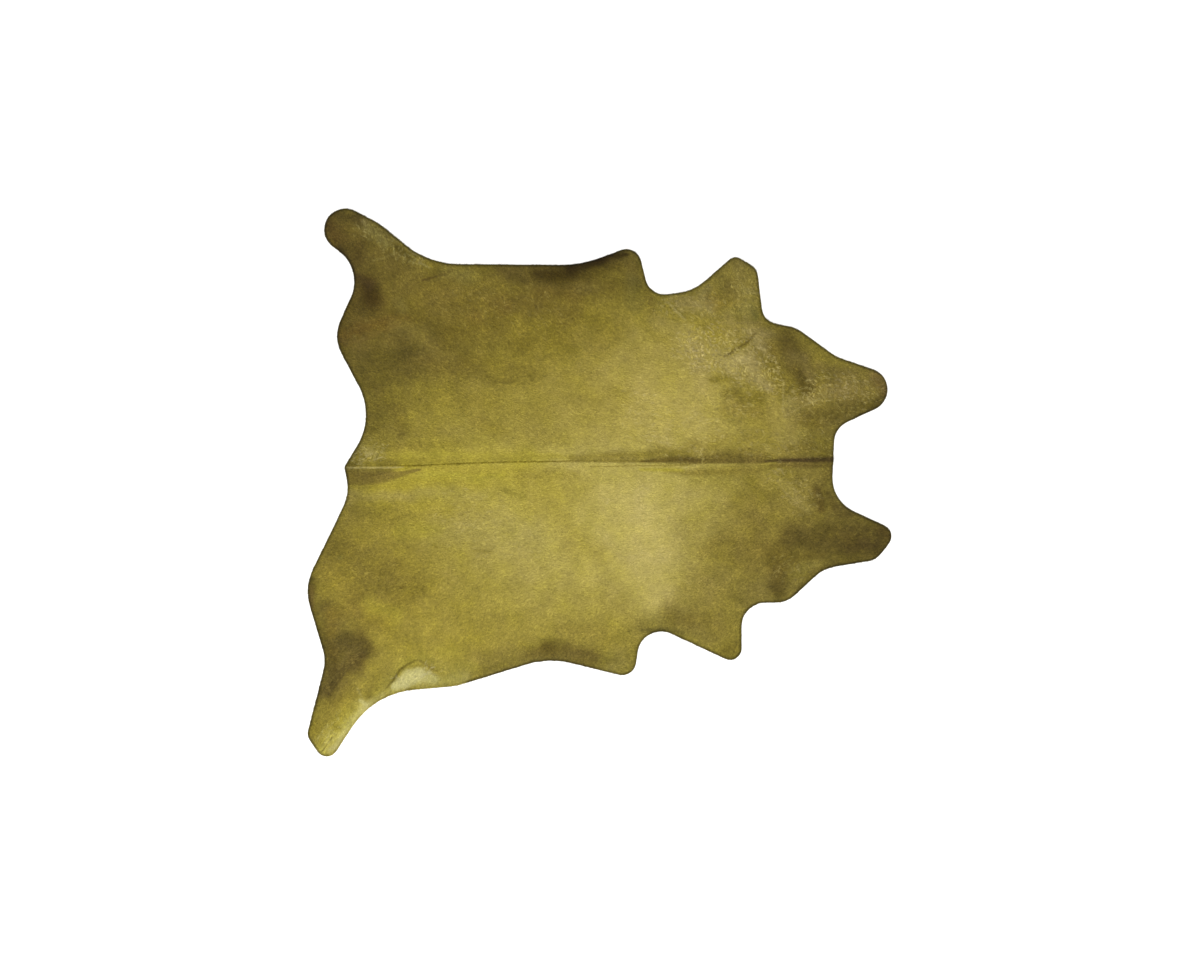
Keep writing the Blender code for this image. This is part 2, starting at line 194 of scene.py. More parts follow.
# Broad blooms, which bleed unevenly into each other.
BLOOMS = marked(
    ("pale barrel", 0, "#b6a859", 1, (-151, -71, 1269), (157, -71, 1269)),
    ("pale shoulder crest", 0, "#b5a556", 0.85, (80, 313, 654), (349, 313, 577)),
    ("left ribs light", 0, "#a6974b", 0.55, (-51, 544, 192), (3, 352, 269)),
    ("golden loin", 0, "#aa9c3b", 0.8, (-766, 6, 423), (-305, 44, 423)),
    ("left ribs gold", 0, "#998a3b", 0.6, (-420, 313, 462), (-36, 313, 500)),
    ("right ribs gold", 0, "#a3943c", 0.6, (-209, -71, 346), (-93, -156, 308)),
    ("left quarter shade", 0, "#6c5d2a", 1, (-997, 698, 769), (-766, 583, 577), (-574, 525, 423)),
    ("left quarter brown", 0, "#7f7031", 0.9, (-689, 752, 500), (-151, 760, 423)),
    ("left thigh shade", 0, "#685a2b", 0.6, (-959, 563, 500), (-651, 506, 500)),
    ("left rump shade", 0, "#74672e", 0.85, (-974, 371, 462), (-951, 217, 385), (-820, 321, 346)),
    ("left belly shade", 0, "#6b5d2f", 0.8, (-305, 867, 269), (118, 883, 269)),
    ("left belly lobe shade", 0, "#6f6129", 0.75, (-51, 767, 292), (126, 744, 246)),
    ("left ribs shade", 0, "#7c6d2a", 0.6, (-459, 583, 462), (-36, 583, 423)),
    ("left hind shank shade", 0.2, "#6b5d2e", 0.8, (-1055, 1006, 308), (-824, 844, 346)),
    ("right quarter olive", 0, "#8b7b33", 0.8, (-1036, -302, 577), (-843, -417, 577)),
    ("right neck shade", 0.1, "#675a2c", 1, (795, -194, 269), (949, -225, 323), (1080, -210, 231)),
    ("right neck fade", 0, "#807134", 0.8, (587, -117, 385), (603, -302, 423)),
    ("right neck fade, high", 0, "#645629", 0.6, (803, -110, 108), (895, -102, 115), (949, -125, 77)),
    ("right neck far fade", 0, "#8f813c", 0.5, (387, -202, 385), (449, -310, 346)),
    ("right shoulder shade", 0, "#8a7c3c", 0.8, (503, -417, 423), (734, -417, 423)),
    ("left neck shade", 0, "#7b6d32", 0.8, (657, 506, 462), (772, 371, 423)),
    ("left neck lobe shade", 0, "#82733a", 0.9, (872, 260, 269), (1041, 352, 346)),
    ("left neck lobe edge", 0, "#5d502a", 0.75, (926, 183, 85), (1011, 237, 100), (1072, 290, 92),
        (1103, 344, 62)),
    ("left neck lobe crest", 0, "#81713a", 0.6, (818, 360, 115), (918, 375, 115)),
    ("neck shade", 0, "#84763a", 0.8, (772, 160, 269), (811, -71, 423)),
    ("right front shank brown", 0, "#968848", 0.6, (387, -533, 269), (249, -456, 192)),
    ("left front shank olive", 0, "#8b7d40", 0.85, (503, 737, 308), (541, 813, 269)),
    ("right belly shade", 0, "#83753f", 0.8, (-382, -763, 231), (-128, -702, 215)),
    ("right elbow light", 0, "#9c8f4c", 0.6, (72, -717, 231)),
    ("right hock dark", 0, "#65572e", 0.75, (-1051, -479, 154), (-997, -625, 231), (-1020, -740, 192),
        (-1059, -817, 138)),
    ("right hock dark, inner", 0, "#65562a", 0.75, (-912, -587, 108), (-889, -640, 123), (-943, -725, 131)),
    ("right thigh brown, low", 0, "#786730", 0.6, (-920, -487, 215), (-843, -517, 154)),
    ("right hind shank shade", 0, "#8f8034", 0.7, (-1089, -925, 169), (-1036, -856, 154)),
    ("right hind shank shade, inner", 0, "#958535", 0.6, (-997, -840, 115), (-959, -810, 92)),
    ("right hind shank gold", 0, "#c0b455", 0.9, (-1066, -1040, 131), (-1020, -971, 154), (-966, -933, 131),
        (-912, -863, 115)),
    ("right hind shank pale rim", 0, "#c6bc70", 0.7, (-1036, -1040, 46), (-1005, -1017, 54),
        (-970, -948, 54), (-932, -894, 54), (-874, -840, 54), (-828, -817, 38)),
    ("right shank tail side", 0, "#8d8036", 0.7, (-1020, -933, 115), (-1074, -887, 100)),
    ("right shank middle", 0, "#9f9139", 0.6, (-974, -871, 115), (-1005, -925, 92)),
    ("right hind shank dark patch", 0, "#8b7e35", 0.6, (-974, -802, 69)),
    # Painted shade, partly parted hair: the backbone crease's dark band, here and in the next two marks.
    ("backbone shade", 0, "#8b7c3a", 0.6, (3, 102, 46), (195, 102, 77), (387, 102, 115), (695, 102, 115)),
    ("tail shade", 0, "#6b5e2c", 0.8, (-982, 44, 100), (-889, 37, 108), (-805, 40, 69)),
    ("backbone shade, above", 0, "#8f8039", 0.55, (234, 129, 54), (434, 137, 69)),
    ("left shank tip red brown", 0, "#614d29", 0.75, (-1051, 998, 123), (-1012, 944, 138)),
    ("left shank tip shade", 0, "#61512a", 0.5, (-982, 975, 131), (-951, 844, 115)),
    ("left shank inner edge", 0, "#4a3f26", 0.65, (-997, 906, 54), (-959, 844, 54), (-932, 790, 46)),
    ("left shank outer edge", 0, "#5a4d2b", 0.7, (-1020, 1036, 69), (-951, 1021, 85), (-897, 990, 62)),
    ("left rump edge", 0, "#51451f", 0.5, (-1001, 583, 46), (-993, 498, 46), (-962, 421, 46)),
    ("left shank fuzz", 0, "#857a44", 0.7, (-897, 975, 77), (-820, 921, 85)),
    ("left hock halo", 0, "#5f4f29", 0.55, (-912, 767, 154), (-866, 690, 138)),
    ("left hock light", 0, "#83763a", 0.55, (-774, 683, 85), (-759, 660, 77)),
    ("left thigh red brown", 0, "#735d2c", 0.65, (-978, 575, 100), (-866, 590, 108), (-751, 613, 92)),
    ("left thigh red brown, low", 0, "#6a5630", 0.6, (-982, 540, 62)),
    ("left thigh olive", 0, "#655a2a", 0.7, (-843, 521, 192), (-651, 560, 169)),
    ("left thigh olive, inner", 0, "#5b5127", 0.65, (-805, 479, 100), (-705, 506, 92)),
    ("left thigh light, top", 0, "#7f7038", 0.65, (-782, 598, 85), (-689, 575, 100)),
    ("left thigh shade, low", 0, "#6c5e2b", 0.5, (-882, 383, 115), (-789, 306, 100), (-759, 198, 92)),
    ("left thigh olive, low", 0, "#675b2b", 0.7, (-936, 460, 154), (-728, 421, 138)),
    ("left thigh light", 0, "#8b7d34", 0.6, (-797, 329, 154), (-420, 321, 154)),
    ("left thigh far light", 0, "#7d7031", 0.6, (-555, 513, 146), (-412, 521, 146)),
    ("left quarter rust", 0, "#7a6a30", 0.6, (-643, 729, 231), (-420, 629, 231)),
    ("left quarter rust spot", 0, "#7a6631", 0.5, (-474, 629, 100)),
    ("left flank brown", 0, "#796a2e", 0.6, (-497, 698, 154), (-228, 698, 169)),
    ("left flank brown spot", 0, "#7a6430", 0.5, (-343, 679, 85)),
    ("left ribs brown", 0, "#76662e", 0.6, (-286, 690, 138), (-97, 667, 138)),
    ("left ribs step", 0, "#786a2b", 0.5, (-305, 521, 154)),
    ("left ribs shade, tail side", 0, "#7c6e2e", 0.6, (-436, 429, 169), (-266, 413, 192)),
    ("left loin shade, tail side", 0, "#93853a", 0.5, (-359, 267, 154), (-243, 252, 192)),
    ("left loin shade", 0, "#938538", 0.5, (-305, 183, 154), (-151, 175, 115)),
    ("left flank spot", 0, "#6c5b2b", 0.5, (-382, 698, 154)),
    ("left ribs gold patch", 0, "#9e8f3b", 0.4, (-128, 413, 177), (80, 344, 177)),
    ("left bay brown", 0, "#7a6b33", 0.6, (207, 706, 62), (222, 637, 54)),
    ("left belly edge shade", 0, "#63552a", 0.65, (-382, 821, 100), (-266, 790, 108), (-151, 760, 131),
        (-28, 767, 115)),
    ("left belly under shade", 0, "#6e5d2b", 0.6, (-228, 737, 100), (-74, 729, 92)),
    ("left belly dark halo", 0, "#53461f", 0.6, (-189, 798, 123), (-43, 821, 115), (64, 844, 115)),
    ("left flank edge", 0, "#6d602c", 0.4, (-589, 844, 31), (-382, 837, 31)),
    ("left flank light", 0, "#8f8240", 0.75, (-497, 806, 115), (-589, 806, 92)),
    ("left flank light, middle", 0, "#877a38", 0.5, (-474, 806, 77)),
    ("left belly light", 0, "#6d5f2a", 0.6, (-97, 775, 54), (-28, 760, 100), (49, 752, 92)),
    ("left belly lobe brown", 0, "#736432", 0.6, (118, 844, 108), (126, 775, 108)),
    ("left ribs streak", 0, "#6c5d2a", 0.65, (-182, 617, 9.2), (-101, 610, 9.2)),
    ("left ribs streak, tail side", 0, "#7a6c2f", 0.6, (-436, 460, 15.4), (-366, 456, 15.4)),
    ("left ribs patch, tail side", 0, "#7c6f30", 0.5, (-428, 398, 54), (-320, 390, 46)),
    ("left belly green", 0, "#7a7036", 0.65, (126, 767, 108), (141, 690, 115)),
    ("left armpit beige", 0, "#9b8c50", 0.7, (326, 690, 115), (434, 683, 115)),
    ("left armpit light", 0, "#978953", 0.6, (403, 737, 69), (434, 698, 77)),
    ("left front shank brown", 0, "#84722f", 0.65, (441, 713, 100), (480, 667, 92)),
    ("left front shank green", 0, "#6d6b31", 0.7, (580, 667, 62), (603, 637, 62)),
    ("left front shank pale", 0, "#938849", 0.6, (557, 740, 46), (599, 725, 46)),
    ("left shoulder beige", 0, "#a29352", 0.65, (387, 521, 115), (387, 398, 115)),
    ("left shoulder beige, upper", 0, "#b0a163", 0.75, (495, 467, 92), (549, 483, 77)),
    ("left shoulder pink", 0, "#a8985f", 0.65, (572, 490, 100), (603, 413, 115), (641, 375, 77)),
    ("left shoulder step, upper", 0, "#787132", 0.5, (480, 652, 69), (557, 652, 69)),
    ("left shoulder step, lower", 0, "#8d7c3d", 0.5, (487, 583, 77), (618, 583, 77)),
    ("left shoulder light step", 0, "#a3945a", 0.7, (603, 552, 62), (634, 513, 62)),
    ("left shoulder olive", 0, "#85782f", 0.75, (434, 394, 42), (480, 398, 54), (530, 390, 42)),
    ("left shoulder olive spot", 0, "#80722f", 0.75, (503, 344, 92), (557, 317, 92), (618, 317, 77)),
    ("left shoulder light, neck side", 0, "#a89a52", 0.75, (726, 298, 100), (734, 190, 169)),
    ("left neck light, crest side", 0, "#93844c", 0.6, (772, 421, 92)),
    ("left shoulder shade, low", 0, "#857833", 0.6, (557, 313, 100), (595, 260, 115)),
    ("left shoulder light, top", 0, "#a49554", 0.7, (587, 583, 108), (657, 560, 92)),
    ("left elbow light", 0, "#ab9b55", 0.6, (334, 583, 138), (349, 529, 154)),
    ("left front shank light", 0, "#938645", 0.6, (564, 652, 85)),
    ("left shoulder, fourth", 0, "#75662b", 0.55, (772, 237, 100), (834, 229, 100)),
    ("left shoulder shade", 0, "#8a7c3a", 0.6, (449, 506, 54), (487, 460, 69)),
    ("left neck dark", 0.1, "#64562a", 0.75, (711, 552, 138), (734, 498, 162), (772, 421, 131),
        (787, 367, 100)),
    ("left neck dark patch", 0, "#5f5227", 0.75, (718, 498, 100), (764, 421, 108), (791, 371, 85)),
    ("left neck edge brown", 0, "#77683a", 0.5, (834, 452, 85), (964, 413, 77)),
    ("left neck dark low patch", 0, "#6c5f2c", 0.8, (780, 267, 85), (864, 260, 108), (964, 275, 100),
        (1034, 306, 69)),
    ("left neck scratched", 0, "#8d7e42", 0.7, (757, 313, 69), (849, 337, 77), (964, 360, 85)),
    ("left neck tip brown", 0, "#80693a", 0.6, (1072, 398, 115), (1111, 344, 77)),
    ("tail triangle", 0, "#9c8f4c", 0.65, (-905, 137, 77), (-859, 113, 85)),
    ("tail olive", 0, "#8a7c34", 0.7, (-812, 148, 54), (-697, 148, 54)),
    ("loin beige", 0, "#9b8d50", 0.5, (-951, -56, 77), (-728, -60, 77)),
    ("loin beige, middle", 0, "#a59853", 0.45, (-689, -40, 100), (-459, -48, 115)),
    ("loin beige, low", 0, "#a49750", 0.5, (-612, -194, 192), (-228, -202, 208)),
    ("loin shade, low", 0, "#887a34", 0.6, (-936, -125, 192), (-797, -163, 169)),
    ("barrel shade, low", 0, "#978939", 0.6, (-305, 29, 100), (-105, 37, 77)),
    ("neck shade, low", 0, "#8d803c", 0.7, (349, 37, 54), (541, 37, 92), (634, 37, 77)),
    ("middle light", 0, "#c3b46a", 0.5, (157, -110, 269), (195, -302, 423), (203, -456, 231)),
    ("middle light, tail side", 0, "#b8aa5e", 0.4, (-51, -133, 154), (49, -210, 192)),
    ("right loin shade, low", 0, "#a09144", 0.5, (-105, -256, 169), (3, -271, 154)),
    ("middle gold", 0, "#a4953f", 0.5, (-74, -2, 231), (-166, -10, 192)),
    ("loin yellow, upper", 0, "#a99c3e", 0.7, (-759, 106, 54), (-459, 102, 62), (-116, 106, 50)),
    ("tail yellow", 0, "#a0943a", 0.55, (-766, -187, 100), (-628, -179, 115)),
    ("loin yellow", 0, "#a69b3e", 0.6, (-689, 25, 50), (-389, 21, 46)),
    ("loin olive", 0, "#908336", 0.5, (-651, 160, 85), (-536, 160, 77)),
    ("ribs olive", 0, "#8f8438", 0.6, (-366, -33, 69), (-289, -40, 62)),
    ("right rump brown", 0, "#7b6d31", 0.75, (-974, -271, 215), (-843, -379, 308), (-728, -417, 231)),
    ("right rump spot", 0, "#7c6d2e", 0.5, (-766, -325, 77)),
    ("right hock yellow", 0, "#a09438", 0.65, (-874, -479, 123), (-789, -517, 131)),
    ("right thigh dark", 0, "#847631", 0.6, (-851, -410, 92), (-728, -417, 92)),
    ("right flank light", 0, "#b4aa59", 0.75, (-797, -802, 77), (-720, -763, 100), (-612, -763, 85),
        (-528, -740, 77)),
    ("right hock shade", 0, "#74642f", 0.7, (-1036, -587, 123), (-1020, -656, 108)),
    ("right thigh edge dark", 0, "#5a4e26", 0.6, (-1109, -371, 46), (-1120, -456, 62), (-1101, -540, 77),
        (-1066, -633, 92), (-1066, -717, 92), (-1086, -810, 69), (-1097, -863, 38)),
    ("right hock inner dark", 0, "#5c4e28", 0.5, (-959, -675, 77), (-920, -717, 62)),
    ("right hock upper", 0, "#7d6b2e", 0.5, (-1005, -510, 115)),
    ("right hock trail", 0.1, "#5c4f2a", 0.85, (-951, -702, 85), (-1012, -756, 92), (-1051, -810, 77)),
    # Painted shade along the right flank's creases, partly hair pressed into them.
    ("right flank creases shade", 0, "#8a7e33", 0.6, (-728, -698, 31), (-774, -733, 31), (-812, -775, 31)),
    ("right flank green", 0, "#a49a44", 0.6, (-589, -752, 65), (-543, -740, 58)),
    ("right flank outer", 0, "#8a7d34", 0.6, (-674, -687, 92), (-751, -702, 54)),
    ("right belly rim light", 0, "#84782f", 0.5, (-459, -725, 54), (-366, -706, 46)),
    ("right belly gold", 0, "#a0933b", 0.6, (-597, -648, 115), (-520, -663, 100)),
    ("right belly dark", 0, "#695a2c", 0.7, (-282, -656, 92), (-197, -652, 115), (-105, -656, 115),
        (-12, -671, 100)),
    ("right belly mid", 0, "#8b7c3b", 0.5, (-497, -663, 115), (-320, -656, 115)),
    ("right belly dark core", 0, "#655628", 0.6, (-205, -644, 100), (-186, -644, 100)),
    ("right belly brown", 0, "#716330", 0.6, (-105, -687, 85), (18, -694, 85)),
    ("right belly upper", 0, "#8b7c38", 0.5, (-128, -571, 131), (26, -587, 131)),
    ("right elbow lobe", 0, "#867a37", 0.6, (34, -687, 100), (118, -671, 92)),
    ("right front shank rust", 0, "#7d6e33", 0.65, (264, -502, 154), (434, -548, 192)),
    ("right front shank rust spot", 0, "#786930", 0.5, (349, -525, 85)),
    ("right front shank edge", 0, "#75672f", 0.6, (480, -648, 77), (518, -625, 62)),
    ("right bay edge dark", 0, "#6f6531", 0.7, (164, -575, 38), (241, -563, 50), (318, -575, 42)),
    ("right shoulder rust", 0, "#887a3a", 0.5, (380, -379, 231), (434, -456, 192)),
    ("right shoulder dark", 0.1, "#685a2d", 0.8, (718, -210, 154), (691, -287, 154), (687, -387, 138)),
    ("right shoulder dark, low", 0, "#62552a", 0.6, (695, -325, 77), (695, -417, 85)),
    ("right shoulder olive edge", 0, "#857a3b", 0.6, (772, -333, 92), (841, -310, 77)),
    ("neck olive", 0, "#82762f", 0.6, (587, 6, 108), (634, -60, 108)),
    ("neck pale rays", 0, "#988a49", 0.6, (691, 6, 54), (734, -56, 69), (795, -94, 54)),
    ("neck smudge", 0.25, "#5f5029", 0.9, (841, -37, 46), (845, -87, 54)),
    ("neck smudge, outer", 0.1, "#685a2d", 0.7, (880, -48, 50), (887, -94, 54)),
    ("neck smudge, low", 0, "#62542d", 0.6, (903, -87, 54), (964, -98, 50)),
    ("right neck lobe dark", 0, "#5f532a", 0.8, (795, -210, 215), (911, -225, 231), (1034, -233, 208)),
    ("right neck lobe edge", 0, "#62552b", 0.6, (911, -117, 46), (995, -125, 46), (1064, -156, 46)),
    ("right neck lobe edge, low", 0, "#63562c", 0.55, (1072, -275, 54), (995, -302, 54), (903, -317, 54),
        (826, -356, 54), (764, -425, 54)),
    ("right neck fade, edge", 0, "#726330", 0.55, (834, -63, 100), (857, -2, 77), (887, 44, 69)),
    ("right neck fade, inner", 0, "#7c6e31", 0.55, (464, -256, 154), (595, -302, 154)),
    ("neck lower light", 0, "#968939", 0.5, (387, 6, 154), (480, -2, 115)),
    ("neck upper shade", 0, "#928339", 0.5, (349, 152, 77), (503, 160, 92), (587, 167, 92)),
    ("neck crest shade", 0, "#71642d", 0.65, (734, 129, 77), (818, 137, 85), (887, 121, 92)),
    ("right neck lobe black", 0, "#55482a", 0.7, (957, -252, 108), (1057, -248, 100)),
    ("right neck lobe light", 0, "#6c5d2f", 0.6, (949, -225, 115)),
    ("right neck tip", 0, "#5f4f2a", 0.6, (1084, -190, 77), (1111, -210, 62)),
    ("right shoulder dark, upper", 0, "#6d5f2c", 0.7, (634, -248, 108), (695, -310, 131), (795, -287, 100),
        (857, -287, 77)),
    ("left shoulder shade, armpit", 0, "#77682f", 0.6, (657, 544, 92), (664, 498, 69)),
    ("left shoulder pale, armpit", 0, "#a89955", 0.8, (457, 498, 108), (534, 421, 92)),
    ("left neck shade, crest side", 0, "#90803a", 0.7, (495, 283, 115), (587, 267, 92)),
    ("left neck shade, middle", 0, "#8b7c3d", 0.6, (734, 267, 100), (741, 190, 92)),
    # Painted shade, partly parted hair: the dark band on the backbone crease towards the neck.
    ("backbone shade, neck side", 0, "#877834", 0.6, (249, 44, 46), (387, 37, 46), (541, 44, 54),
        (626, 44, 54)),
    ("backbone shade, neck", 0, "#7d6e32", 0.6, (449, 98, 62), (557, 113, 69)),
    ("right hock light, belly side", 0, "#a09540", 0.6, (-851, -817, 85), (-766, -717, 100),
        (-674, -679, 77), (-589, -717, 85), (-497, -702, 85)),
    ("right hock light, inner", 0, "#968534", 0.5, (-889, -502, 92), (-820, -533, 92)),
    ("right hock light, thigh side", 0, "#877434", 0.6, (-1036, -502, 85), (-1028, -579, 85)),
    ("right thigh gold", 0, "#a29240", 0.55, (-674, -463, 100), (-651, -594, 115), (-551, -579, 115)),
    ("middle light, low", 0, "#b8a954", 0.5, (-66, -302, 115), (-28, -379, 108)),
    ("left front shank shade", 0, "#796a31", 0.6, (495, 760, 92), (511, 690, 92)),
    ("left hind shank shade, inner", 0, "#5e4f28", 0.6, (-920, 921, 85), (-928, 852, 69)),
    ("tail shade, thigh side", 0, "#837634", 0.7, (-836, 79, 77), (-782, 75, 62)),
    ("loin shade, thigh side", 0, "#8f8034", 0.55, (-466, 237, 100), (-374, 198, 100)),
    ("neck shade, right", 0, "#7e6f33", 0.5, (603, -256, 100), (472, -194, 100), (395, -263, 77)),
    ("left neck gap, crest side", 0, "#857640", 0.6, (734, 475, 100), (772, 479, 92), (803, 398, 69)),
    ("left neck light, middle", 0, "#a8984c", 0.65, (657, 313, 92), (687, 198, 131)),
    ("left ribs pale, neck side", 0, "#ad9d50", 0.5, (3, 390, 138), (126, 560, 115), (295, 460, 115)),
    ("left elbow shade, light", 0, "#94853e", 0.5, (141, 706, 92), (241, 621, 100)),
    ("left belly lobe light, low", 0, "#7f7135", 0.55, (-74, 752, 85), (3, 752, 85)),
    ("left thigh light, hock side", 0, "#7b6b34", 0.6, (-936, 521, 100), (-766, 544, 108)),
    ("neck light, right", 0, "#8f8040", 0.6, (849, 6, 69)),
    ("left shoulder light, low", 0, "#bbab5c", 0.5, (349, 237, 115), (395, 167, 100)),
    ("right neck edge light", 0, "#9a8b3f", 0.65, (541, -90, 131)),
    ("left front shank light, low", 0, "#998c46", 0.6, (580, 690, 92), (557, 590, 85)),
    ("left armpit light, ribs side", 0, "#ab9c50", 0.5, (234, 613, 115), (318, 575, 108), (318, 421, 154)),
    ("tail light, low", 0, "#9c8d46", 0.6, (-959, -71, 92)),
    ("right hind shank shade, tip", 0, "#928536", 0.6, (-1082, -1002, 85)),
    ("right hock dark, tail side", 0, "#5f5028", 0.6, (-1028, -656, 100), (-1012, -717, 92)),
    ("right hock dark, low", 0, "#75662f", 0.55, (-974, -779, 92), (-1020, -833, 85)),
    ("left armpit light, neck side", 0, "#9d8e49", 0.6, (495, 637, 92), (511, 544, 100)),
    ("left ribs light, upper", 0, "#94853a", 0.5, (-43, 583, 115), (3, 560, 92)),
    ("left thigh light, upper", 0, "#847537", 0.6, (-751, 590, 108), (-574, 460, 108)),
    ("tail light, line side", 0, "#988a40", 0.6, (-882, 160, 92)),
)
